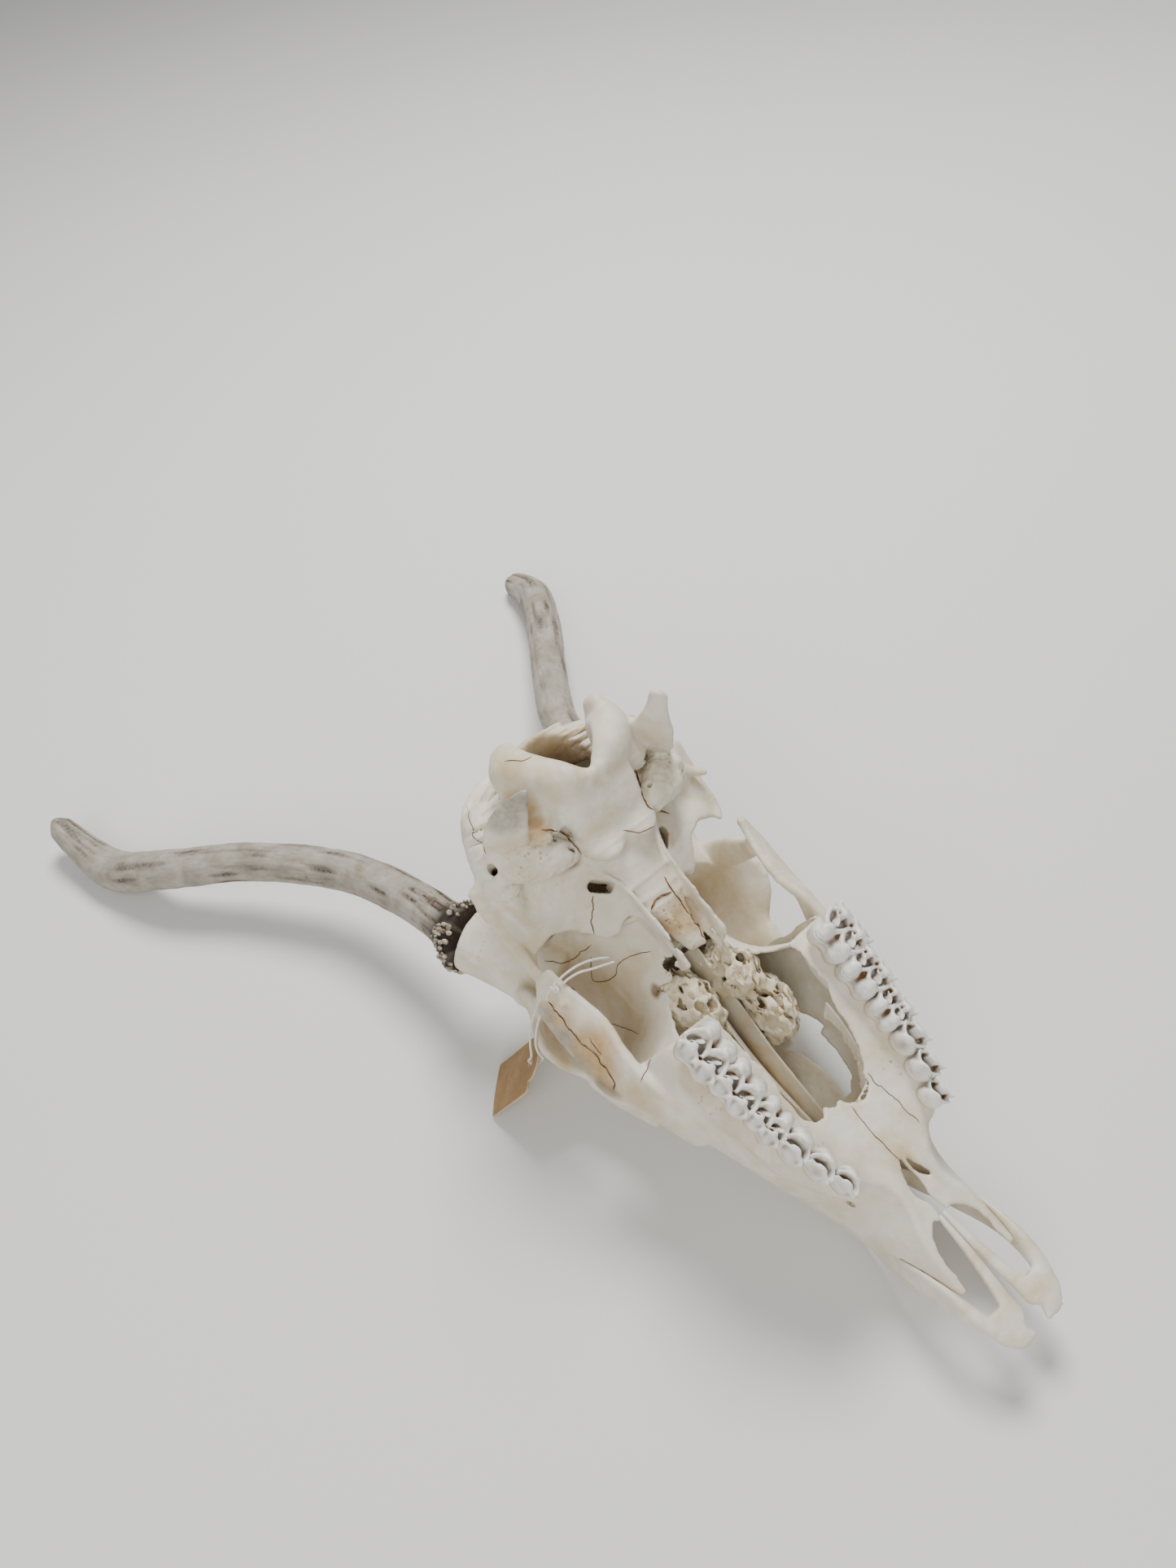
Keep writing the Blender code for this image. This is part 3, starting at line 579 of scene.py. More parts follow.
def antler_bone():
    """Antler: greyish tan bone, stained dark brown in lengthwise grooves and round the burr."""
    look = Look("antler_weathered", 0.62, 0.3, "#b4ada1")
    look.coat("#918878", look.spread((9, 4, 0.6), (0.3, 0.7)))
    look.coat("#4b3c2d", look.spread((1.6, 5, 0.7), (0.4, 0.62), (0.6, 1.25), "streak"))
    look.coat("#2c221b", look.spread(painted="burr"))
    look.coat("#b4a995", look.spread(painted="pearl"))
    return look.finish([(look.add("TexNoise", look.grain(0.9, 4, 0.65)), 1.0)], 0.5, 0.0006)


def antler_pearl():
    """Bare tips of antler, rubbed pale on trees, with brown left between them."""
    look = Look("antler_pearl_rubbed", 0.55, 0.35, "#4a3827")
    look.coat("#bdb39c", look.spread((1.8, 4, 0.65), (0.36, 0.6)))
    return look.finish()


def kraft_card():
    """Kraft card, pressed from brown pulp: matt, with longer pale and dark fibres in it."""
    look = Look("kraft_card_pressed", 0.86, 0.2, "#a98a66")
    turned = look.add("Mapping", {"Vector": look.place, "Rotation": (0.5, 0.35, 0.9), "Scale": (1, 5, 1)})
    fibre = look.add("TexNoise", {**look.grain(2.6, 5, 0.7), "Vector": turned})
    look.coat("#99784f", look.spread((7, 4, 0.6), (0.3, 0.7)))
    look.coat("#c4a983", fibre, 0.56, 0.68, 0.6)
    look.coat("#7d5f3e", fibre, 0.42, 0.32, 0.5)
    look.coat("#cfb998", look.spread(painted="edge"), top=0.75)
    return look.finish([(look.add("TexNoise", look.grain(0.5, 4, 0.6)), 1.0)], 0.3, 0.0003)


def cotton_string():
    """Twisted cotton: off-white, soft and dull, with a little dirt in the lay."""
    look = Look("cotton_twisted", 0.92, 0.15, "#efece4")
    look.join(look.shader, {"Sheen Weight": 0.3})
    look.coat("#d8d2c4", look.spread((2.5, 3, 0.6), (0.3, 0.7)))
    return look.finish([(look.add("TexNoise", look.grain(0.25, 3, 0.6)), 1.0)], 0.4, 0.0002)


BONE = dry_bone()
CRACK = crack_shade()
SCROLL = scroll_bone()
ENAMEL = tooth_enamel()
ANTLER = antler_bone()
PEARL = antler_pearl()
KRAFT = kraft_card()
COTTON = cotton_string()

camera()

# The string that ties the tag to the left cheek bone

STRING_RADIUS = 0.45
STRING_LOOP = [
    (-50.3, 168, 70), (-51, 168.8, 66.4), (-51.9, 169.9, 62), (-53.2, 171.3, 56), (-54.6, 171.9, 50),
    (-55.7, 171.9, 44.6), (-55.9, 171.2, 40.4), (-55.2, 170.4, 37), (-55.6, 171.3, 34.6),
    (-56.2, 172.3, 32.4), (-57, 173.3, 31.5), (-58, 174.4, 31.8), (-58.7, 174.9, 33), (-58.6, 174.6, 34.5),
    (-58, 173.6, 36.7), (-57.6, 173.3, 40), (-56.9, 173.4, 45), (-55.7, 173.4, 51), (-54.2, 172.9, 57),
    (-52.6, 171.6, 63), (-51.3, 170.2, 68.6), (-50.3, 169.2, 72.2),
]
STRING_END_UPPER = [(-44.2, 165.4, 79.8), (-42.1, 165.7, 80), (-37, 166.1, 79), (-32.5, 165.9, 77.6),
                    (-28.1, 165.1, 75.6), (-24.6, 164.2, 73.4)]
STRING_END_LOWER = [(-43.4, 164.4, 78.2), (-41.2, 164.8, 78), (-36.6, 164.4, 77.4), (-32.5, 163.2, 76.2),
                    (-28, 162.5, 74.4), (-24, 162.2, 72.4)]
KNOT = (-46.2, 165.6, 77.6)
TURN_RING = [(-46 + 3.3 * math.cos(a), 173.4 + 1.9 * math.sin(a), -34 + 6 * math.sin(a))
             for a in (2 * math.pi * step / 16 for step in range(17))]
STRING_STEP = 0.28             # mm between rings
LAY = 2.2                      # mm of string in one turn of its strands


def strand(name, line, radius, twist, nodes):
    """Two strands twisted together, as one tube with two lobes."""
    points, faces = tube(line, radius * MM, 12, twist, lobes=2, depth=0.3)
    return new_piece(name, points, faces, COTTON, nodes)


def string(name, route, nodes, to_frame=on_floor):
    """String along a smooth route; its strands turn once in each lay."""
    smooth = through(route, 10)
    run = np.linalg.norm(np.diff(smooth, axis=0), axis=1).sum()
    line = to_frame(evenly(smooth, max(12, int(run / STRING_STEP))))
    return strand(name, line, STRING_RADIUS, 2 * math.pi * run / LAY, nodes)


def make_string():
    """The loop that holds the tag, and the pieces that hold the loop."""
    loop = string("string_loop_twisted", STRING_LOOP, ["string_loop"])
    upper = string("string_end_upper_twisted", STRING_END_UPPER, ["string_end_upper"])
    lower = string("string_end_lower_twisted", STRING_END_LOWER, ["string_end_lower"])
    turn = string("string_turn_twisted", TURN_RING, ["string_turn"], on_crown)
    a = np.linspace(0, 2 * math.pi, 90)
    overhand = np.stack([np.sin(a) + 1.6 * np.sin(2 * a), np.cos(a) - 1.6 * np.cos(2 * a), -np.sin(3 * a)], 1)
    tilt = np.array([[1, 0, 0], [0, 0.9, 0.4], [0, -0.4, 0.9]])
    knot_line = on_floor(np.array(KNOT) + overhand * (0.46, 0.62, 0.55) @ tilt)
    knot = strand("string_knot", knot_line, STRING_RADIUS * 1.15, 12, ["string_turn"])
    return loop, [upper, lower, turn, knot]


# The tag

TAG_HOLE = np.array([-58.0, 174.4, 31.8])
TAG_ALONG = np.array([-0.29, 0.47, -0.834])
TAG_ACROSS = np.array([0.73, 0.67, 0.12])
TAG_LENGTH = 35.2
TAG_WIDTH = 20.5
TAG_TAB = 6.6
TAG_SHOULDER = 1.6
TAG_CORNER = 0.9
TAG_CARD = 0.8
HOLE_RADIUS = 1.7


def make_tag():
    """A card with a round tab at its hole, bent a little across.

    The hole's rim and the outline are two rings with the same number of points, and the card lies
    between them in ever wider rings.
    """
    along = TAG_ALONG / np.linalg.norm(TAG_ALONG)
    across = TAG_ACROSS - (TAG_ACROSS @ along) * along
    across /= np.linalg.norm(across)
    face = np.cross(along, across)
    half = TAG_WIDTH / 2
    outline = [(TAG_LENGTH, 0)]
    for middle, first in ((TAG_LENGTH - TAG_CORNER, 0), (TAG_SHOULDER + TAG_CORNER, math.pi / 2)):
        outline += [(middle + TAG_CORNER * math.cos(turn), half - TAG_CORNER + TAG_CORNER * math.sin(turn))
                    for turn in np.linspace(first, first + math.pi / 2, 5)]
    outline.append((TAG_SHOULDER, TAG_TAB))
    outline += [(TAG_TAB * math.cos(turn), TAG_TAB * math.sin(turn))
                for turn in np.linspace(math.pi / 2, math.pi, 12)[1:]]
    outline = np.array(outline)
    outline = np.concatenate([outline, outline[::-1][1:-1] * (1, -1), outline[:1]])
    rim = evenly(outline, 181)[:-1]
    inner = rim / np.linalg.norm(rim, axis=1)[:, None] * HOLE_RADIUS
    share = np.concatenate([[0, 0.02], np.linspace(0.06, 0.95, 26), [0.985, 1.0]])
    rings = inner[None] * (1 - share[:, None, None]) + rim[None] * share[:, None, None]
    bend = 0.5 * (rings[..., 1] / half) ** 2 + 0.35 * np.sin(rings[..., 0] / TAG_LENGTH * 2.6) - 0.2
    ripple = 0.05 * lattice(np.dstack([rings, np.zeros(rings.shape[:2])]).reshape(-1, 3), 4, 5)
    bend = (bend + ripple.reshape(bend.shape)) * 0.8
    thick = TAG_CARD / 2 * np.where((share < 0.01) | (share > 0.99), 0.6, 1.0)[:, None]
    place = TAG_HOLE + rings[..., :1] * along + rings[..., 1:2] * across
    top = place + (bend + thick)[..., None] * face
    bottom = place + (bend - thick)[..., None] * face
    here = np.arange(2 * len(share) * len(rim)).reshape(2 * len(share), len(rim))
    quads = ring_quads(np.concatenate([here, here[:1]]))[:, ::-1]
    points = on_floor(np.concatenate([top, bottom[::-1]]).reshape(-1, 3))
    piece = new_piece("tag_card", points, [quads], KRAFT, ["tag"])
    edge = np.concatenate([share, share[::-1]])
    worn = np.clip((edge - 0.965) / 0.03, 0, 1) + np.clip((0.012 - edge) / 0.012, 0, 1)
    paint(piece, "edge", np.repeat(worn, len(rim)))
    piece.data.set_sharp_from_angle(angle=math.radians(40))
    return piece


# The skull's bones

EYE = np.array([-145.9, 168.3, 355.0])     # where the photograph was taken from


def polygon_inside(y, z, corners):
    """Whether each point is inside the polygon: an odd number of its sides lie beyond the point."""
    corners = np.asarray(corners, float)
    odd = np.zeros(len(y), bool)
    for (y0, z0), (y1, z1) in zip(corners, np.roll(corners, -1, 0)):
        crosses = (z0 > z) != (z1 > z)
        with np.errstate(divide="ignore", invalid="ignore"):
            odd ^= crosses & (y < (y1 - y0) * (z - z0) / (z1 - z0) + y0)
    return odd


def ragged(points, size, height, seed):
    """The points shifted by noise, so that an edge drawn through them comes out broken."""
    return points + np.stack([height * rough(points, size, seed + k, 2) for k in range(3)], 1)


# Half outlines of the face from the palate's middle round to the crown's: y, then x, z of ten points
FACE = [
    (27, [(1, -3), (5, -3), (9.8, -2.4), (12.4, -3.4), (14.4, -9), (14.6, -15), (12.2, -23), (8.4, -29),
          (4.4, -32), (0.3, -33)]),
    (37, [(1, -4), (5, -4.2), (10.4, -3.2), (12.6, -5), (15.4, -12), (15.8, -20), (13.8, -29), (9.6, -36),
          (5, -39), (0.3, -40)]),
    (46, [(1, -4.4), (5, -4.6), (10.2, -3.4), (12, -5.8), (15.8, -14), (16.7, -23.5), (14.8, -34),
          (10.5, -41.6), (5.4, -44.6), (0.3, -45.6)]),
    (54, [(0, -4.3), (4.4, -4.5), (8, -3), (9.6, -5.8), (15.4, -14), (18, -25), (16.2, -36.5), (11.4, -44.6),
          (5.8, -47.9), (0.3, -49)]),
    (62, [(0, -4.2), (4.2, -4.3), (8.2, -2.4), (10.4, -5.2), (16.4, -14), (20, -26.5), (18, -39.5),
          (12.6, -48.4), (6.4, -51.9), (0.3, -53.1)]),
    (70, [(0, -4), (6, -4.1), (12.6, -1.8), (16.4, -4.4), (20.6, -14), (23, -28), (20.2, -42), (13.9, -50.9),
          (7, -54.7), (0.3, -55.9)]),
    (79, [(0, -4), (8, -3.7), (16, -1.4), (25.2, -3.2), (26, -14), (26.6, -29), (22.8, -44.5), (14.9, -53.6),
          (7.5, -57.4), (0.3, -58.7)]),
    (95, [(0, -4.2), (9, -3.8), (19, -1.6), (31.2, -3.4), (32, -14), (32.6, -30.5), (27.4, -47.6),
          (18, -58.4), (9, -63), (0.3, -64.8)]),
    (112, [(0, -4.8), (9, -4.4), (19, -2.2), (34.6, -4), (36.6, -14), (38, -31), (33.2, -50), (23.5, -64.2),
           (11.6, -70.4), (0.3, -72.2)]),
    (126, [(0, -5.4), (9, -5.4), (19, -3.4), (34.8, -6), (38.4, -15), (40, -30.5), (37.6, -50), (28, -68),
           (14, -74.8), (0.3, -76.6)]),
    (138, [(0, -7), (9, -7), (19, -5.4), (33, -9), (37.4, -17), (40.4, -31), (39.6, -50), (32, -70.5),
           (16, -78.8), (0.3, -80.4)]),
]

# The broken edge of the palate, x and y, and the gap in the right side wall, y and z where x is 22
PALATE_GAP = [(19, 122), (16, 115), (15.2, 109), (14.4, 102.6), (12, 96.4), (9, 90.8), (6.8, 87.8), (3, 86.8),
              (0, 89), (-3.6, 92), (-5.4, 90), (-8.8, 94), (-11, 91.4), (-14.6, 92), (-18, 95.6), (-18, 104),
              (-16.4, 113), (-18.2, 121), (-18.4, 134), (-18.4, 170), (18.4, 170)]
SIDE_GAP = [(116.8, -45.8), (112.5, -37), (107.7, -31.7), (104.9, -39.8), (97.5, -37.8), (87.5, -41.4),
            (81, -52), (78.5, -62.5), (84.3, -59), (92.9, -59.8), (99.6, -67.8), (103.4, -78), (104.1, -67.9),
            (111.8, -62.5), (115.1, -46.5)]
FISSURE = [(-3, 20), (11, 20), (11, 27), (10.3, 31.4), (10.5, 36), (10, 40), (8.2, 44.2), (4.8, 47),
           (3.4, 47.4), (2.2, 46.2), (-3, 46)]
FACE_END = ([-46, -36, -28, -18, -10, -6, -4.2, -3], [56, 48, 41, 36, 33, 31, 28, 26.4])

# A premaxilla's side blade, up the front of the upper jaw
BLADE = [(12.6, 14.5, -0.6, 2.6, 2.2), (14, 20, -2.4, 2.7, 3.2), (15, 25.5, -5.6, 2.3, 5.4),
         (15.8, 31, -11, 1.8, 6.8), (16.2, 36, -18, 1.5, 7.4), (15.4, 42, -27, 1.3, 6.8),
         (12.6, 50, -36.5, 1.1, 5), (10, 57, -43.5, 0.9, 2.4)]


def face_keep(flip):
    """Which points of a face half stay: all but the broken palate, the side gap and the openings in front."""
    def keep(points):
        moved = ragged(points, 3.2, 1.0, 11)
        x, y, z = points.T
        low = z > -12
        gone = low & polygon_inside(moved[:, 0], moved[:, 1], PALATE_GAP)
        gone |= low & polygon_inside(x * flip, y, FISSURE)
        if flip > 0:
            reach = (22 - EYE[0]) / (x - EYE[0])
            seen_y = EYE[1] + (moved[:, 1] - EYE[1]) * reach
            seen_z = EYE[2] + (moved[:, 2] - EYE[2]) * reach
            gone |= (z < -17) & polygon_inside(seen_y, seen_z, SIDE_GAP)
        gone |= y < np.interp(z, *FACE_END)
        return ~gone
    return keep


def add_face(field):
    """The upper jaws, palate and nose roof as thin walls, with the solid ridge that holds the teeth."""
    for flip in (1, -1):
        rows = [[(x * flip, y, z) for x, z in half] for y, half in FACE]
        field.sheet(rows, half=0.75, blend=1.0, keep=face_keep(flip))
    ridge = [(16.5, 71, -5.6, 3.4, 3.4), (20.4, 76, -5.8, 4.8, 5.2), (25, 90, -6.6, 6.4, 6.4),
             (27.4, 105, -7, 7.4, 7), (28.4, 118, -8, 8.2, 7.4), (28.8, 129, -9, 8, 7.4),
             (29, 135, -11, 5.4, 5.6)]
    field.limb(ridge, mirror=True, blend=2.5)
    strip = [[(2.4, 88, -5),
              (1.2, 87.2, -8)], [(8.6, 90.4, -5),
                                                (7.2, 87, -11)], [(12.4, 96, -5),
                                                                                   (11.4, 91, -16)],
             [(14.4, 103, -5),
              (15, 98, -17)], [(15.2, 110, -5),
                                                (16.4, 104, -17)], [(15.8, 117, -6),
                                                                                     (14.4, 111, -16)]]
    field.sheet(strip, half=0.45, blend=0.6,
                keep=lambda p: p[:, 2] > -12.5 + 3.2 * rough(p, 3.4, 17, 2))
    field.limb([(x, y, z, a + 0.15, b + 0.15) for x, y, z, a, b in BLADE], mirror=True, blend=0.3, carve=True)
    slit = [(0.5, 67.4, -4, 0.2, 4), (-0.5, 63.4, -4, 1.2, 4), (-0.9, 58.6, -4, 2.1, 4),
            (-0.9, 55, -4, 1.8, 4), (-0.1, 51.4, -4, 0.9, 4), (0.4, 48, -4, 1.4, 4), (0.5, 45, -4, 2.2, 4)]
    splinter = [(2.4, 65.6, -4, 0.3, 4), (2.9, 62.4, -4, 0.9, 4), (4, 59.6, -4, 0.9, 4),
                (5.4, 57.2, -4, 0.3, 4)]
    for hole in (slit, splinter):
        field.limb(hole, blend=0.2, carve=True)


# The break in the left socket's inner wall: x and y on the plane where z is -30, as seen from the eye
NOSE_GAP = [(-6, 157), (-10.4, 155), (-16.6, 150), (-20.7, 143.4), (-23.3, 137), (-25, 131), (-24, 122),
            (-6, 116), (4, 130), (4, 150)]


def add_sockets(field):
    """Eye sockets: a roof under the crown, an inner wall, and their rims."""
    roof = [
        [(0, 134, -77.6), (16, 134, -76.5), (30, 134, -71), (38.5, 134, -60)],
        [(0, 146, -83), (16, 146, -82.5), (33, 147, -78), (46, 145, -69)],
        [(0, 160, -86), (18, 160, -85.4), (36, 160, -78), (54.8, 160, -60)],
        [(0, 174, -88), (18, 174, -87), (36, 174, -79), (49, 173, -62)],
        [(0, 192, -86), (16, 192, -86), (30, 192, -81), (40, 190, -72)],
    ]

    def comb(points):
        """The roof's outer edge as a comb: a triangle wave along y, shifted by noise, is cut out of it."""
        out = np.abs(points[:, 0])
        tooth = np.abs((points[:, 1] / 1.7 + 0.6 * rough(points, 3, 19, 2)) % 1 - 0.5)
        edge = np.interp(points[:, 1], (134, 142, 150, 160, 168, 176), (60, 46.6, 51.5, 54.4, 53.5, 60))
        return out < edge - 1.6 * tooth

    field.sheet(roof, half=1.5, blend=2.0, mirror=True, keep=comb)
    wall = [
        [(8, 190, -24), (16, 190, -38), (23, 190, -55), (31, 188, -77)],
        [(6.4, 170, -24), (12, 170, -38), (18, 170, -56), (26, 170, -81)],
        [(7, 152, -24), (16, 152, -38), (20, 152, -56), (27, 152, -81)],
        [(11, 141, -20), (22, 141, -36), (29, 140, -55), (35, 139, -77)],
        [(22, 134, -12), (33, 134, -30), (39.5, 133, -50), (41, 134, -66)],
    ]

    def unbroken(points):
        """All of the wall but the break, whose edge is drawn as the eye sees it."""
        moved = ragged(points, 3, 1.3, 29)
        x, y, z = points.T
        reach = (-30 - EYE[2]) / (z - EYE[2])
        seen = EYE[:2] + (moved[:, :2] - EYE[:2]) * reach[:, None]
        gone = polygon_inside(seen[:, 0], seen[:, 1], NOSE_GAP)
        gone |= (x > 0) & (y < 156) & (moved[:, 2] > np.interp(y, (136, 146, 156), (-31, -29, -20)))
        return ~gone

    field.sheet(wall, half=0.8, blend=1.6, mirror=True, keep=unbroken)
    post = [(43, 180, -76, 5, 4), (46.4, 176, -62, 2.6, 6), (48, 172, -50, 2, 5), (47, 170, -39, 1.8, 3.6)]
    field.limb(post, mirror=True, blend=2.5)
    rim = [(39, 118, -55, 2.4, 2.6), (43, 131, -65, 2.2, 2.8), (46, 141, -68.5, 1.4, 2.4)]
    field.limb(rim, mirror=True, blend=2.5)


# The edge of the shelf over the eye socket, x and y
BOWL = [(6.4, 150), (6.8, 166), (7.6, 171.4), (9.4, 175.6), (12.4, 178.6), (14.6, 178.2), (17, 176.4),
        (20, 177.6), (23, 181.6), (27.6, 187.4), (34, 190.4), (41.8, 188.2), (44.6, 184), (60, 180),
        (60, 130), (6, 130)]


def add_shelf(field):
    """The flat of the temple that overhangs the socket, down to the base of the skull."""
    rows = [
        [(18, 217, -15.6, 1.8), (27, 217, -25.6, 1.8), (36, 217, -29.8, 1.8), (43, 217, -31.8, 1.8),
         (47, 216, -33.6, 1.6)],
        [(15, 208, -16, 1.8), (25, 208, -27.8, 1.8), (34, 208, -32.6, 1.8), (42, 208, -34.6, 1.8),
         (47, 208, -36.2, 1.6)],
        [(12, 199, -18, 1.8), (22, 199, -28.6, 1.8), (32, 199, -34.6, 1.8), (41, 199, -36.6, 1.6),
         (46.4, 199, -38.4, 1.4)],
        [(10, 191, -19.6, 1.6), (18, 191, -26.2, 1.4), (27, 191, -32.2, 1.3), (38, 191, -35.2, 1.2),
         (45.4, 191, -39.2, 1.2)],
        [(9, 184, -19.4, 1.4), (15, 184, -24, 1.2), (22, 184, -29.2, 1.1), (30, 184, -34.6, 1),
         (42, 184, -37, 1)],
        [(8.4, 176, -20, 1.2), (12.6, 176, -24, 1), (17, 176, -28.4, 1), (22, 176, -33, 1),
         (28, 176, -38, 1)],
        [(7, 166, -22.4, 1), (9, 166, -25, 1), (12, 166, -30, 1), (14, 166, -35, 1), (17, 166, -40, 1)],
        [(6.6, 152, -24.4, 1), (8.4, 152, -27, 1), (11, 152, -31, 1), (13.6, 152, -36, 1), (16, 152, -41, 1)],
    ]

    def outside_bowl(points):
        """The shelf beyond its ragged edge over the socket."""
        moved = ragged(points, 5, 0.5, 23)
        return (moved[:, 1] > 155) & ~polygon_inside(np.abs(moved[:, 0]), moved[:, 1], BOWL)

    field.sheet(rows, blend=1.4, keep=outside_bowl, mirror=True)


def add_cheeks(field):
    """The cheek arches: roots at the back, the broad plates below the sockets, and the left one's bridge."""
    root = [(30, 205, -37, 8, 4.6), (37, 204, -38, 7, 4), (43, 199, -38.6, 3.8, 3.8),
            (45.6, 193, -40, 2, 3.6), (45.6, 188, -40.4, 0.9, 2)]
    field.limb(root, mirror=True, blend=2.5)
    field.limb([(41, 208, -33, 2.4, 2.2), (45, 203.6, -31.6, 1.9, 1.7),
                (47, 201.6, -30.8, 1.2, 1.2)], blend=1.5)
    field.limb([(-39, 211, -30, 2.6, 2.4), (-43, 213, -29.4, 2, 2)], blend=2)
    cheek = [
        [(44.6, 179.4, -28, 1.5), (45.6, 179.4, -30, 1.8), (46.6, 179.2, -32.6, 1.8),
         (47.4, 178.8, -35, 1.5)],
        [(43.4, 173.5, -28.6, 1.5), (46.2, 173.5, -32, 2), (49.6, 173, -36.6, 1.8), (51.2, 172, -40, 1.2)],
        [(41.6, 165, -28, 1.4), (45.8, 165, -32, 2.1), (50, 165, -37.4, 1.8), (51.8, 165, -41, 1)],
        [(40.8, 155, -26, 1.6), (45, 154, -30.4, 2.3), (49.2, 154, -36.4, 2), (51.2, 154, -42, 1.1)],
        [(42.6, 145, -24, 1.8), (45.6, 144, -29, 2.5), (49, 144, -36.6, 2.2), (50.4, 144, -44, 1.2)],
        [(42.6, 134, -22, 2), (44.6, 133, -28, 2.7), (47.2, 134, -37, 2.4), (48.7, 135.5, -45.6, 1.4)],
        [(39.4, 121, -20.4, 2.2), (41, 121, -27, 3), (42.2, 122, -35, 2.8), (43, 124, -43, 1.8)],
        [(34.6, 108, -18, 2), (36.8, 108, -25, 2.4), (38, 108, -32, 2.4), (38.4, 109, -39, 1.8)],
    ]
    field.sheet(cheek, blend=2.5, mirror=True)
    bridge = [(-44.6, 192, -38.6, 1.9, 3.6), (-45.6, 184, -37.4, 1.8, 3.8), (-46, 176, -34.6, 1.7, 4.2),
              (-47.4, 168, -33, 2, 4.8)]
    field.limb(bridge, blend=1.5)


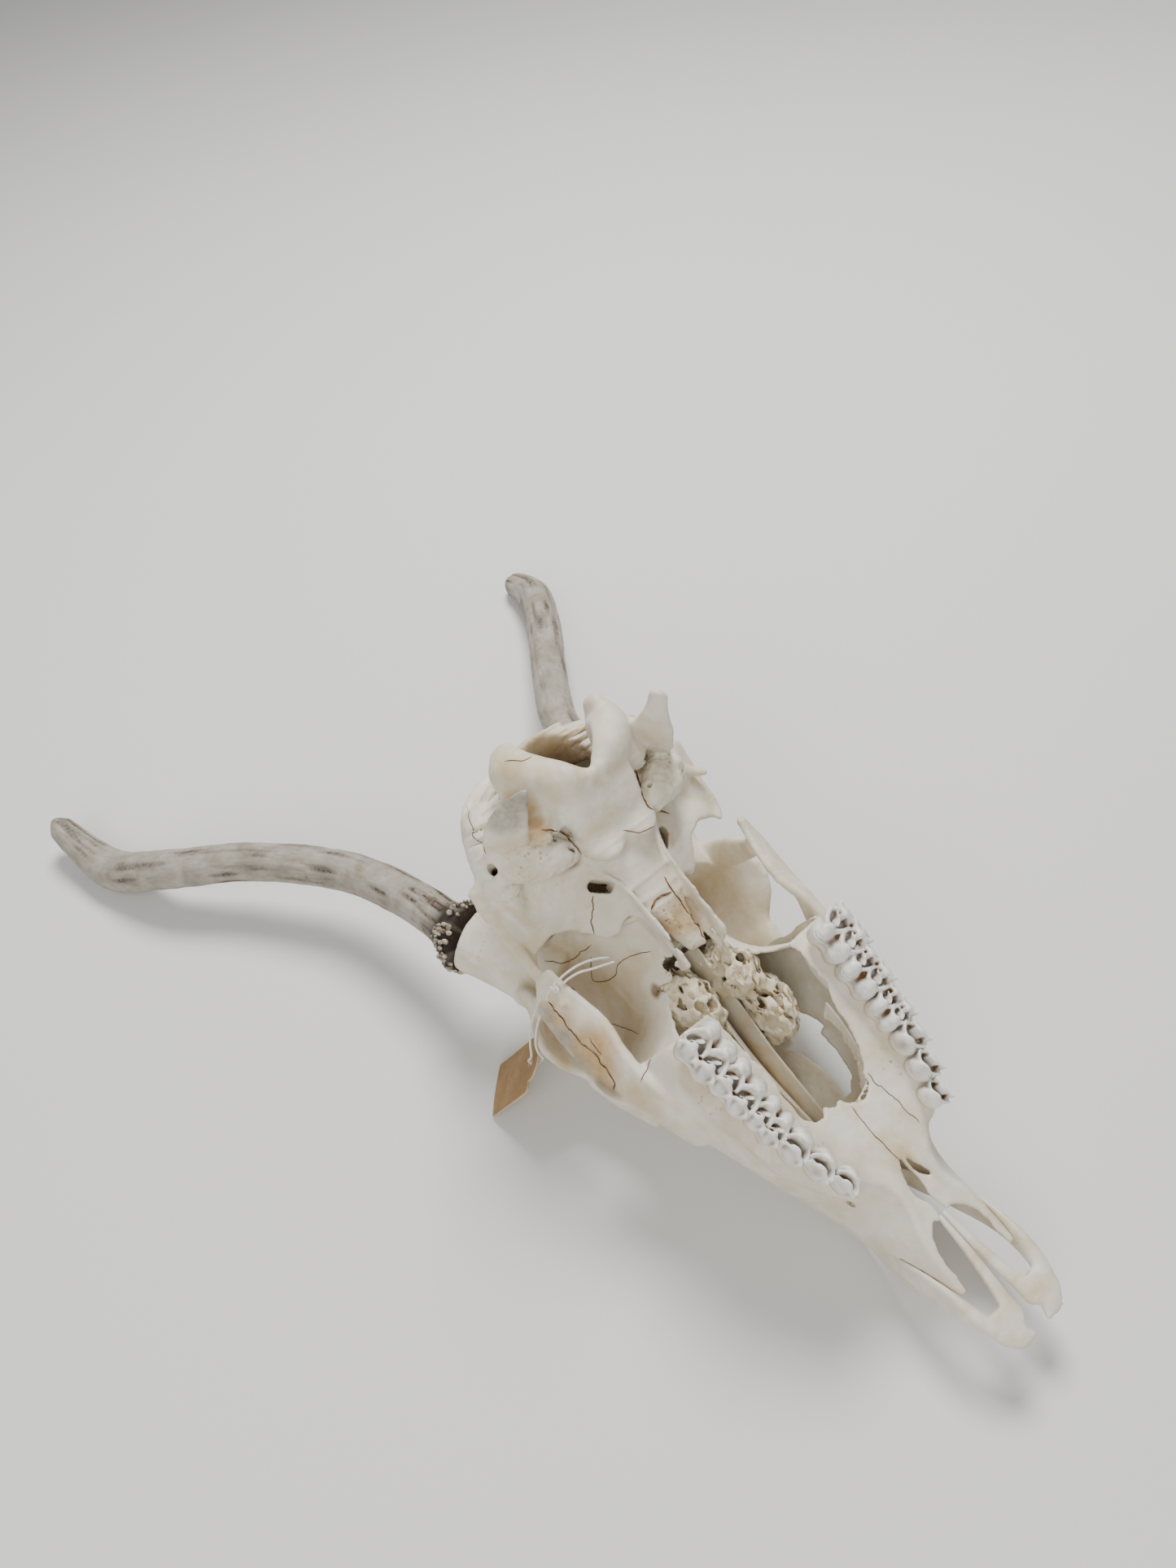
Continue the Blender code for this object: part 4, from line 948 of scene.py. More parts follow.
def add_braincase(field):
    """The braincase with its base, condyles, ear drums, flaps, rear crest and the stems of the antlers."""
    case = [(0, 158, -54, 10, 24), (0, 172, -55, 13, 28), (0, 182, -54, 18, 31), (0, 190, -51, 26, 32.5),
            (0, 198, -49, 33, 32.5), (0, 213, -42.5, 35, 29), (0, 226, -38, 33.4, 24.5),
            (0, 235, -36.5, 29.6, 19.5), (0, 241.5, -37.5, 23, 13)]
    field.limb(case, blend=2.0)
    field.ball((36, 162, -46), (17.5, 25, 25), carve=True, mirror=True, blend=1.0)
    base = [(0, 156, -24.6, 3.4, 2), (0, 164, -23, 4.6, 2.8), (0, 173, -21.4, 6.4, 4.2),
            (0, 182, -20.4, 8, 4.8), (0, 190, -19, 9.4, 5), (0, 197, -17.5, 12, 5.2),
            (0, 206, -12.5, 13.6, 6), (0, 216, -6.5, 14.6, 6.6), (0, 222.5, -3.4, 12, 5.6)]
    field.limb(base, blend=2.5, square=2.6, steps=10)
    field.ball((7.2, 202.5, -12.4), (6.8, 8.6, 3.0), mirror=True, blend=3.0, turn=-28)
    right = [(3, 219.4, 0, 3.4, 5.4), (8.4, 222.4, -1.6, 6.2, 9), (13.4, 227, -4, 8, 10.2),
             (16.8, 231.6, -5.2, 7.4, 9.6), (18.4, 236, -5.6, 5.4, 8), (18.6, 239.8, -5, 3.6, 5.6)]
    left = [(-3, 219.4, 0, 3.4, 5.4), (-8.4, 222.4, -1.6, 6.2, 9), (-13.4, 227, -4.6, 8.2, 10.8),
            (-16.4, 232, -7.6, 8.8, 11), (-17, 237.6, -10.6, 8, 9.8), (-15, 242.2, -13.4, 6.2, 7.6)]
    for condyle in (right, left):
        field.limb(condyle, blend=2.0, cap=4, steps=8)
    mastoid = [(37.6, 204, -42, 5.4, 9), (37, 214, -33, 6.8, 9.4), (33.6, 225, -30, 8, 10),
               (27, 234, -33, 8, 9.4)]
    field.limb(mastoid, mirror=True, blend=3.0)
    field.ball((24, 226, -14), (6, 7, 8.6), mirror=True, blend=2.0)
    field.ball((19.6, 221.4, -11), (5.4, 7, 6), mirror=True, blend=5.0)
    field.ball((-22.4, 216.0, -8.6), (5.6, 4.4, 2.8), blend=3.5)
    field.ball((-23.6, 220.4, -4.4), (3.2, 3.4, 3.2), blend=2.0, carve=True)
    left_flap = [[(-27.5, 225.4, 17.2, 0.7), (-28, 225.8, 17, 0.8), (-28.5, 226.2, 16.6, 0.7)],
                 [(-27.7, 224.4, 12.6, 1), (-30, 226, 12.4, 1.1), (-32.2, 227.2, 11, 0.8)],
                 [(-27.9, 222.6, 6.4, 1.2), (-31.8, 225.4, 6.4, 1.3), (-35.4, 227.4, 5, 0.9)],
                 [(-29, 219.4, -1, 1.5), (-34, 223, -1, 1.5), (-38, 226, -2, 1.2)],
                 [(-28.6, 216.4, -10, 2), (-34.6, 219.8, -12, 2), (-38.6, 223, -13, 1.6)],
                 [(-28, 214, -20, 2.4), (-34, 216, -22, 2.4), (-38, 220, -24, 2)]]
    field.sheet(left_flap, blend=1.6)
    right_flap = [[(27, 227.4, 17, 1.4), (28, 226, 17.6, 1.6), (29, 224.4, 17, 1.4)],
                  [(26.2, 225.8, 10, 1.4), (27.8, 223.4, 10, 1.8), (29.6, 220.8, 9, 1.3)],
                  [(24.6, 225.6, 1, 1.6), (28, 220.6, 2, 2), (30.6, 216.6, 1, 1.6)],
                  [(21.6, 229.6, -6, 2.4), (27.4, 220.6, -6, 2.4), (31.4, 214.6, -8, 2)],
                  [(22, 230, -16, 3), (28, 222, -17, 3), (33, 216, -18, 2.6)]]
    field.sheet(right_flap, blend=1.8)
    drum = np.array([(17, 202.4, -15, 3.8, 4.2), (21, 204.6, -15.4, 6.2, 6.2), (26.4, 207.6, -18, 7.6, 7.4),
                     (32, 211.4, -22, 6.6, 6.6), (37.6, 217, -28, 4.2, 4.6)])
    field.limb(drum, blend=0.8, cap=3)
    field.limb((drum + (0, 3, 0, 0, 0)) * (-1, 1, 1, 0.96, 0.96), blend=0.8, cap=3)
    crest = [(37.4, 221, -27, 3.6, 5.6), (36, 229.5, -32, 3.2, 4.8), (30, 238.4, -38, 3.2, 4.2),
             (21, 243.4, -42, 3.2, 3.8), (10, 246, -44.5, 3.2, 3.6), (0, 246.6, -45, 3.2, 3.6)]
    field.limb(crest, mirror=True, blend=2.0)
    lip = [(11, 242.4, -25, 3, 3), (0, 244.2, -26, 3, 3), (-11, 242.4, -25, 3, 3)]
    field.limb(lip, blend=4.0, side=(0, 0, 1), steps=10)
    stem = [(30, 176, -74, 15, 15), (36, 190, -79, 13.2, 13.2), (41.5, 202, -82, 12.6, 12.6),
            (44.4, 209, -84.6, 12.8, 12.8)]
    field.limb(stem, mirror=True, blend=4)


def add_wings(field):
    """Pterygoid plates on each side of the rear nose opening."""
    plates = [[(16, 200.6, -17.6), (15.6, 200, -26)], [(12.8, 194.6, -17), (13, 194, -26)],
              [(9.9, 187, -16), (10.4, 187, -26)], [(9.2, 177, -15.2), (9, 177, -26)],
              [(8.9, 166.7, -15.2), (8, 166, -27)], [(8.9, 153, -18), (7.6, 153, -28)]]
    field.sheet(plates, half=0.7, blend=1.2, keep=lambda p: p[:, 2] < -15.6 + 1.8 * rough(p, 3.5, 41, 2),
                mirror=True)
    inner = [[(3.4, 178, -17.2), (5.4, 178, -24)], [(2.6, 168, -17.4), (4.6, 168, -26)],
             [(2.2, 158, -18.6), (4, 158, -27)], [(1.6, 148, -21), (3, 148, -28)]]
    field.sheet(inner, half=0.6, blend=1.0, keep=lambda p: p[:, 2] < -18.4 + 2.4 * rough(p, 3.0, 43, 2),
                mirror=True)


def hollow_out(field):
    """The braincase's hollow with the great opening, the nose's rear and the throat."""
    brain = [(0, 182, -50, 10, 18), (0, 192, -48, 24, 24), (0, 203, -45, 30, 23), (0, 218, -38, 28, 19.5),
             (0, 231, -34, 20, 13)]
    field.limb(brain, blend=1.0, carve=True)
    door = [(0, 219, -28, 14, 14), (0, 235, -11.5, 11.8, 15.6), (0, 254, 8, 13, 19)]
    field.limb(door, blend=1.2, carve=True)
    nose = [(0, 126, -44, 28, 26), (0, 140, -46, 22, 26), (0, 152, -47, 13, 20)]
    field.limb(nose, blend=1.5, carve=True)
    throat = [(0, 128, -19, 14, 9), (0, 142, -20, 7, 6)]
    field.limb(throat, blend=1.5, carve=True)


def crumble(field):
    """Wears the thin plates round the rear nose opening ragged, more so towards the front."""
    spans, (x, y, z) = field.block((-15, 138, -34), (42, 172, -12))
    worn = (0.35 + 1.5 * rough(all_points(x, y, z), 4.5, 47, 3)).reshape(field.values[spans].shape)
    weight = np.clip((170 - y) / 14, 0, 1) * np.clip((z + 34) / 5, 0, 1) * np.clip((42 - np.abs(x)) / 6, 0, 1)
    field.values[spans] += (weight * worn).astype(np.float32)


def bore(field, near, far, radius):
    """A round hole along a line."""
    field.limb([(*near, radius, radius), (*far, radius, radius)], blend=0.4, carve=True, cap=0.6)


def nerve_holes(field):
    """The holes that nerves and vessels pass through, and a few that have broken open."""
    oval = [(16.2, 193.2, -25, 2, 9), (12.2, 189.2, -25, 2, 9)]
    field.limb(oval, side=(0.68, 0.73, 0), blend=0.5, carve=True, mirror=True, cap=1.6)
    bore(field, (-21, 156, -44), (-12, 150, -30), 1.3)
    bore(field, (-39, 218, -22), (-36, 214, -34), 2.0)
    bore(field, (-23, 69, -11), (-12, 61, -17), 1.0)
    bore(field, (23.4, 94, 2), (20, 92, -8), 1.0)
    bore(field, (18.6, 208, -10), (19.4, 203, -24), 0.9)
    bore(field, (-17.6, 206.6, -8), (-17, 203.6, -22), 1.3)
    bore(field, (-20.6, 213.4, -6), (-19, 210, -20), 0.9)


def seat_cut(field):
    """The flat seats that the burrs stand on, square to the antler's foot."""
    along = np.array([0.5, 2.3, -2.2])
    along /= np.linalg.norm(along)
    for flip in (1, -1):
        foot = np.array([44.4, 208.5, -83.4]) - 0.3 * along
        spans, (x, y, z) = field.block((20 * flip - 45, 190, -90), (20 * flip + 45, 240, -60))
        height = x * flip * along[0] + y * along[1] + z * along[2] - foot @ along
        side = np.sqrt((x * flip - foot[0]) ** 2 + (y - foot[1]) ** 2 + (z - foot[2]) ** 2)
        field.join(spans, np.where(side < 26, -height, FAR).astype(np.float32), 0, carve=True)


# Where the bone is painted tan: x, y, z, radius in mm, amount
TAN = [(-22, 238, 2, 7, 0.45), (-48, 150, -34, 13, 0.9), (-49, 165, -36, 9, 0.7), (-30, 160, -66, 26, 0.3),
       (30, 160, -66, 22, 0.25), (-24, 226, -6, 7, 0.8), (0, 236, -22, 13, 0.75), (15, 190, -24, 4, 0.5),
       (0, 168, -22, 9, 0.7), (-24, 218, -8, 6, 0.8), (40, 150, -44, 12, 0.35), (16, 240, -4, 4, 0.35),
       (-44, 130, -30, 10, 0.5), (-31, 131, -60, 14, 0.4), (9, 200, -20, 5, 0.4), (-36, 126, -4, 9, 0.45),
       (-34, 108, -4, 8, 0.35), (-18, 64, -20, 8, 0.2), (27, 224, -4, 6, 0.35), (-12, 28, -5, 7, 0.3),
       (0, 66, -4, 5, 0.35)]
# Painted shade inside holes and the braincase, and one brown stain on the left cheek: x, y, z, radius in mm,
# amount
HOLE_SHADE_SPOTS = [(0, 224, -27, 17, 1.4), (0, 200, -56, 22, 1.3), (-49, 139, -38, 6, 0.8), (14.4, 190.5, -32, 6, 1.4),
         (-14.4, 190.5, -32, 6, 1.4), (0, 205, -40, 26, 0.8), (-17, 153, -38, 3, 1), (-37, 216, -30, 4, 1.2),
         (-18, 204, -18, 4, 0.9)]
# Grey: painted shade on the left ear flap, and the grey tone of the left cheek bar: x, y, z, radius in mm,
# amount
FLAP_SHADE_AND_GREY_SPOTS = [(-30, 225, 12, 8, 0.9), (-33, 225, 4, 8, 0.8), (-51, 170, -38, 5, 0.7), (-51, 160, -39, 6, 0.8),
        (-50, 150, -40, 6, 0.7), (-48, 140, -41, 5, 0.6)]
SPONGY = [(-1, 168, -19, 7, 1), (-34, 118, -6, 8, 0.6), (-22, 88, -3, 6, 0.5), (30, 211, -14, 9, 0.7),
          (-30, 211, -14, 9, 0.6), (20, 90, -2, 7, 0.7), (28, 216, 14, 5, 0.8)]
LUMPY = [(26, 207, -16, 13, 1.4), (-26, 210, -16, 13, 1.4), (-32, 230, -30, 9, 0.8), (-42, 214, -36, 12, 0.6),
         (48, 140, -30, 10, 0.4), (-46, 150, -34, 14, 0.5)]


def spots(points, places):
    """The greatest of the places' amounts at each point, fading out over the last part of the radius."""
    total = np.zeros(len(points), np.float32)
    for x, y, z, radius, amount in places:
        away = np.linalg.norm(points - np.array((x, y, z), np.float32), axis=1) / radius
        total = np.maximum(total, amount * np.clip((1.15 - away) / 0.6, 0, 1))
    return total


def bone_piece(name, field, values, crowd, nodes, relief=0.28):
    """A bone: the field's skin with low relief along its normals, with painted tan shade where it is hollow.
    """
    piece, points = skinned(name, field, values, 2, BONE, nodes)
    normals = np.empty(points.size, np.float32)
    piece.data.vertex_normals.foreach_get("vector", normals)
    lumpy = spots(points, LUMPY)
    lumps = relief * rough(points, 7, 3, 3) * (1 + 1.2 * lumpy) + 0.07 * lattice(points, 1.9, 9)
    lumps = lumps + lumpy * (0.6 * rough(points, 4.2, 13, 3) + 0.45 * lattice(points, 1.8, 15))
    moved = on_crown(points) + normals.reshape(-1, 3) * (lumps * MM)[:, None]
    piece.data.vertices.foreach_set("co", moved.astype(np.float32).reshape(-1))
    piece.data.update()
    full = field.read(crowd, points)
    # painted shade where the surroundings are full of bone, together with the tan spots
    paint(piece, "hollow_shade_and_tan", np.clip(np.maximum((full - 0.7) * 2.0, spots(points, TAN)), 0, 1))
    for attribute, places in (("hole_shade_and_stain", HOLE_SHADE_SPOTS), ("flap_shade_and_grey", FLAP_SHADE_AND_GREY_SPOTS), ("spongy", SPONGY)):
        paint(piece, attribute, spots(points, places))
    return piece


def lapped(values, beyond):
    """A bone cut in two: the second part, where beyond is above nought, runs on a little under the first."""
    sunk = values + 0.03 * np.clip((2.5 - beyond) / 2.5, 0, 1)
    return np.maximum(values, beyond), np.maximum(sunk, -3.0 - beyond)


def make_skull():
    """The skull in six lapped pieces: face, sockets and occiput, each left and right."""
    field = Field((-58, 22, -91), (58, 254, 20), BONE_CELL)
    for step in (add_face, add_braincase, hollow_out, add_sockets, add_shelf, add_cheeks, add_wings, crumble,
                 nerve_holes, seat_cut):
        step(field)
    crowd = field.crowd(5.0)
    x, y, _ = field.axes()
    face, rest = lapped(field.values, y - 138.5)
    middle, back = lapped(rest, y - 194)
    bones = []
    for part, values in (("face", face), ("sockets", middle), ("occiput", back)):
        for side, half in zip(("left", "right"), lapped(values, x)):
            bones.append(bone_piece(f"skull_{part}_{side}", field, half, crowd, ["skull"]))
    return bones


# Cracks: radius, wiggle, then z and points, each x and y on the plane of the given z, as seen from the eye
CRACKS = [
    (0.22, 0.5, -28, [(-16.1, 191.1), (-21.7, 184.8), (-24.2, 180.5)]),
    (0.18, 0.7, -34, [(-25.1, 178.6), (-35, 178.5), (-41.2, 183.9)]),
    (0.16, 0.3, -60, [(-20.3, 176.2), (-24.8, 168.6), (-17.9, 165.2), (-13.9, 167.6), (-8.4, 167.1),
                      (-0.9, 164.1)]),
    (0.13, 0.5, -60, [(-30.5, 154.9), (-23.9, 144.3)]),
    (0.16, 0.4, -60, [(-25.9, 135.1), (-34.2, 131)]),
    (0.42, 0.4, -16, [(-7.3, 175), (-3, 176.2), (1.9, 175)]),
    (0.26, 0.4, -18, [(3.9, 180.7), (3, 166.9), (1.3, 154.4)]),
    (0.30, 0.7, -34, [(-48.6, 172.6), (-49.1, 161.3), (-48, 152), (-47.6, 141.8), (-49.9, 137)]),
    (0.18, 0.5, -34, [(-45.5, 155), (-46.4, 147.5)]),
    (0.14, 0.2, -5, [(-1, 88.3), (-0.7, 77), (0.5, 66.6)]),
    (0.14, 0.6, -4, [(9.8, 92.2), (12.3, 79.1), (13.3, 70.3)]),
    (0.16, 0.3, 0, [(-20.7, 240.1), (-16.2, 237.3), (-12.1, 236.1)]),
    (0.20, 0.3, -8, [(-0.8, 200.6), (3.3, 197), (9.1, 195.2)]),
    (0.34, 0.3, -14, [(19.1, 215.2), (14.1, 202.8), (18.4, 196.1)]),
    (0.30, 0.4, -6, [(-23.3, 216.2), (-18.3, 211.9), (-18.2, 205.8), (-18, 202.3)]),
    (0.16, 0.6, -34, [(-29, 241.7), (-33.2, 234), (-34.3, 224.5)]),
]


def make_cracks(bones):
    """Dark hairlines, painted shade and grime of the cracks: thin tubes half sunk along the first bone that
    each sight line meets.
    """
    origin = on_crown(EYE)
    graph = bpy.context.evaluated_depsgraph_get()
    trees = [BVHTree.FromObject(bone, graph) for bone in bones]
    points, walls, ends, total = [], [], [], 0
    for number, (radius, wiggle, height, route) in enumerate(CRACKS):
        flat = np.array([(x, y, height) for x, y in route], float)
        line = evenly(through(flat, 8), 2 + int(np.linalg.norm(np.diff(flat, axis=0), axis=1).sum() / 0.45))
        sway = [1.8 * wiggle * rough(line + 40 * number, 2.6, k, 3) for k in (1, 2)]
        line = line + np.stack([*sway, 0 * line[:, 0]], 1)
        met = []
        for aim in on_crown(line):
            way = Vector(aim - origin).normalized()
            hits = [tree.ray_cast(Vector(origin), way) for tree in trees]
            hits = [hit for hit in hits if hit[0] is not None]
            if hits:
                place, normal, _, _ = min(hits, key=lambda hit: hit[3])
                met.append(np.array(place - normal * (0.25 * radius * MM)))
        steps = np.linalg.norm(np.diff(met, axis=0), axis=1)
        breaks = [0, *(np.nonzero(steps > CRACK_JUMP)[0] + 1), len(met)]
        for first, last in zip(breaks[:-1], breaks[1:]):
            if last - first < 4:
                continue
            from_end = np.minimum(np.arange(last - first), np.arange(last - first)[::-1])
            swell = radius * MM * np.minimum(1, from_end / 4 + 0.3)
            ring_points, (quads, near, far) = tube(np.array(met[first:last]), swell, 6)
            points.append(ring_points)
            walls.append(quads + total)
            ends += [near + total, far + total]
            total += len(ring_points)
    faces = [np.concatenate(walls), np.concatenate(ends)]
    new_piece("bone_cracks", np.concatenate(points), faces, CRACK, ["skull"], smooth=False)


def make_scrolls():
    """Crumpled scroll bones: the thin shell round nought of a warped noise, kept inside a few egg shapes."""
    field = Field((-24, 100, -66), (28, 160, -22), BONE_CELL * 0.86)
    for centre, radii in (((10, 141, -41), (9, 13, 14)), ((14, 124, -44), (9.4, 14, 12)),
                          ((-9.4, 141, -40), (9, 14, 14)), ((-12, 127, -44), (8, 11, 12))):
        field.ball(centre, radii, blend=1)
    grid = all_points(*field.axes())
    warped = ragged(grid, 4, 2.0, 51) * (1.0, 0.4, 0.62)
    fold = rough(warped, 2.2, 61, 2).reshape(field.shape)
    torn = field.values + 2.2 * rough(grid, 4, 57, 2).reshape(field.shape)
    values = np.maximum(torn, (np.abs(fold) - 0.19) * 2.2)
    piece, points = skinned("scroll_bones", field, values, 1, SCROLL, ["skull"])
    # painted shade: darker deeper inside the egg shapes
    paint(piece, "hollow_shade_and_tan", np.clip(-field.read(field.values, points) / 12, 0, 0.6))


def make_vomer():
    """The ploughshare bone down the nose's middle: a thin wall that ends in a split rail."""
    field = Field((-8, 76, -70), (8, 160, -28), BONE_CELL * 0.75)
    rail = [[(-3.6, 156, -34), (-1.4, 156, -41), (0, 156, -58)],
            [(-4.2, 132, -37.5), (-1.4, 132, -44), (0, 132, -62)],
            [(-4, 110, -40), (-1.2, 110, -46), (0, 110, -64)],
            [(-2.6, 82, -36), (-0.8, 82, -42), (0, 82, -56)]]
    field.sheet(rail, half=0.5, blend=0.8, keep=lambda p: p[:, 1] > 83 + 1.5 * rough(p, 3, 71, 2))
    field.sheet([[(-x, y, z) for x, y, z in row] for row in rail], half=0.5, blend=0.8)
    piece, points = skinned("vomer", field, field.values, 1, BONE, ["skull"])
    # painted shade: darker deeper into the nose
    paint(piece, "hollow_shade_and_tan", 0.05 + 0.4 * np.clip((-points[:, 2] - 40) / 12, 0, 1))


def make_premaxillae():
    """The two bones at the snout's tip: a plate, a side blade that climbs the nose, and a rod."""
    field = Field((-24, -1, -48), (24, 64, 7), FINE_CELL)
    plate = [(4, 6, 1, 1.2, 1.1), (6.6, 8, 0.9, 4.2, 1.6), (7.6, 11.2, 0.5, 6.2, 1.8),
             (7.9, 14.2, 0, 6.6, 1.9), (8.1, 16.6, -0.4, 6.4, 1.9)]
    rod = [(5.8, 12, 0.2, 3.4, 1.6), (4.8, 16.6, -0.3, 3, 1.6), (3.5, 20.6, -0.9, 2.4, 1.5),
           (2.6, 26.5, -1.8, 1.9, 1.4), (1.75, 34, -3, 1.4, 1.25), (1.35, 40, -4, 1.1, 1.05),
           (1.1, 46, -4.9, 0.75, 0.8)]
    for shape, blend in ((plate, 1.0), (BLADE, 1.0), (rod, 1.4)):
        field.limb(shape, mirror=True, blend=blend, cap=1.6)
    eye = [(7.4, 19.2, -0.6, 1.5, 4), (7.6, 24, -1.6, 3, 5), (7, 31, -3, 3.2, 6)]
    field.limb(eye, mirror=True, blend=0.6, carve=True, cap=1.6)
    crowd = field.crowd(3.0)
    x, _, _ = field.axes()
    for name, sign in (("right", 1), ("left", -1)):
        half = np.maximum(field.values, -x * sign + 0.12)
        bone_piece(f"premaxilla_{name}_bone", field, half, crowd, [f"premaxilla_{name}"], 0.16)


# The cheek teeth: middle along the jaw, distance from the middle line, length, width and height in mm

TEETH = [
    (75.4, 20.2, 8.2, 8.6, 7.6), (83.8, 23.4, 9, 10, 8.2), (92.8, 25.8, 9.4, 11.6, 8.2),
    (103.4, 27.2, 12.2, 13.8, 7.6), (116.8, 28.4, 15, 15.8, 8.2), (131, 29.6, 15.8, 17.2, 9),
]
GUM_Z = 0.2
TOOTH_CELL = 0.34


def make_tooth(side, number, middle, offset, length, width, height):
    """An upper cheek tooth. Each lobe has two half-moons whose horns point outwards.

    They are tall and narrow in section, so they end in edges, and the hollow between them stays open.
    """
    sign = 1 if side == "right" else -1
    chance = np.random.default_rng(100 * number + sign)
    low = (offset - width * 0.72, middle - length * 0.7, -6)
    high = (offset + width * 0.75, middle + length * 0.7, 12)
    field = Field(low, high, TOOTH_CELL)
    molar = number > 3
    top = GUM_Z + height
    root = [(offset, middle, -5, width * 0.30, length * 0.32),
            (offset, middle, 1, width * 0.40, length * 0.42),
            (offset, middle, top - 4.8, width * 0.38, length * 0.42)]
    field.limb(root, blend=0.5, square=3.0)
    part = length * (0.5 if molar else 1.0)
    angles = np.radians([-80, -45, 0, 45, 80])
    for share in ((-0.25, 0.25) if molar else (0.0,)):
        y = middle + share * length
        rise, lean = chance.uniform(-0.5, 0.4), chance.uniform(-0.02, 0.02) * width
        inner = [(-0.20, -1, 0.24, 0.43, 0), (-0.22, top - 4.8, 0.26, 0.46, 0),
                 (-0.19, top - 2, 0.17, 0.34, lean), (-0.15, top - 0.4 + rise, 0.05, 0.14, lean)]
        outer = [(0.22, -1, 0.22, 0.43, 0), (0.25, top - 4.4, 0.21, 0.45, 0),
                 (0.22, top - 1.4, 0.12, 0.34, lean), (0.19, top + 0.1 - rise, 0.06, 0.16, lean)]
        for moon in (inner, outer):
            field.limb([(offset + width * across + shift, y, z, width * wide, part * long)
                        for across, z, wide, long, shift in moon], blend=0.9, cap=0.7)
        turns = [(math.cos(a), math.sin(a)) for a in angles]
        horns = [(0.24 - 0.42 * c, 0.42 * s, top - 3.4 - s * s, 0.065, 2.6, lean) for c, s in turns]
        walls = [(0.39 - 0.17 * c, 0.42 * s, top - 4.0 + 0.3 * c, 0.07, 3.2, 0) for c, s in turns]
        pit = [(0.20 - 0.19 * c, 0.30 * s, top - 0.6, 0.075, 5.6, lean) for c, s in turns]
        for arc, blend, carve in ((horns, 0.7, False), (walls, 0.7, False), (pit, 0.4, True)):
            field.limb([(offset + width * across + shift, y + part * swing, z, width * wide, high)
                        for across, swing, z, wide, high, shift in arc], blend=blend, carve=carve, cap=0.5)
        if molar:
            spur = [(-0.02, -0.06, 3.4, 0.45, 2.4), (0.10, 0.05, 3.0, 0.4, 2.2),
                    (0.17, chance.uniform(0.06, 0.2), 3.4, 0.35, 2.0)]
            field.limb([(offset + width * across + lean, y + part * swing, top - down, wide, high)
                        for across, swing, down, wide, high in spur], blend=0.3, cap=0.5)
    worn = 0.22 * rough(all_points(*field.axes()), 3.0, 7 * number + sign, 2).reshape(field.shape)
    name = f"tooth_{side}_{number}"
    piece, points = skinned(f"cheek_{name}", field, field.values + worn, 1, ENAMEL, [name],
                            sign)
    chew = np.clip((points[:, 2] - (top - 6.5)) / 2.0, 0, 1)
    crowd = field.read(field.crowd(1.8), points)
    paint(piece, "pit", np.clip((crowd - 0.42) * 3.6, 0, 1) * chew)
    paint(piece, "neck", np.clip((2.0 - points[:, 2]) / 2.4, 0, 1))


# The antlers: x, y, z and radius from the foot to the tip, the first rows alike on both sides

FOOT = [(44.4, 208.5, -83.4, 11.6), (44.7, 209.8, -84.6, 13.4), (45.2, 212.2, -86.8, 13.8),
        (45.9, 215.6, -89.8, 10.8), (46.6, 221.5, -95, 9)]
SPIKES = {
    "right": [
        (48.5, 240.4, -110.8, 8.6), (59, 268, -133.6, 8.5), (81, 296.8, -154.9, 8.5),
        (102.6, 320.6, -177, 8.8), (119, 342.4, -198, 9.2), (122.6, 354.5, -208.8, 7.6),
        (121.8, 365, -217.6, 5.6)],
    "left": [
        (48.8, 240.2, -110.5, 8.6), (58.5, 268.4, -133.6, 8.5), (82, 297.5, -154.9, 8.5),
        (111, 321.8, -176.2, 8.8), (126.6, 340.4, -199.6, 9.3), (132.4, 361, -209, 7.4),
        (135.7, 382.5, -215, 5.4)],
}
ANTLER_RINGS, ANTLER_SIDES = 420, 200
ACROSS_FOOT = (0.2, 0.4, 0.9)
PEARLS, PEARL_RINGS, PEARL_SIDES = 190, 6, 12


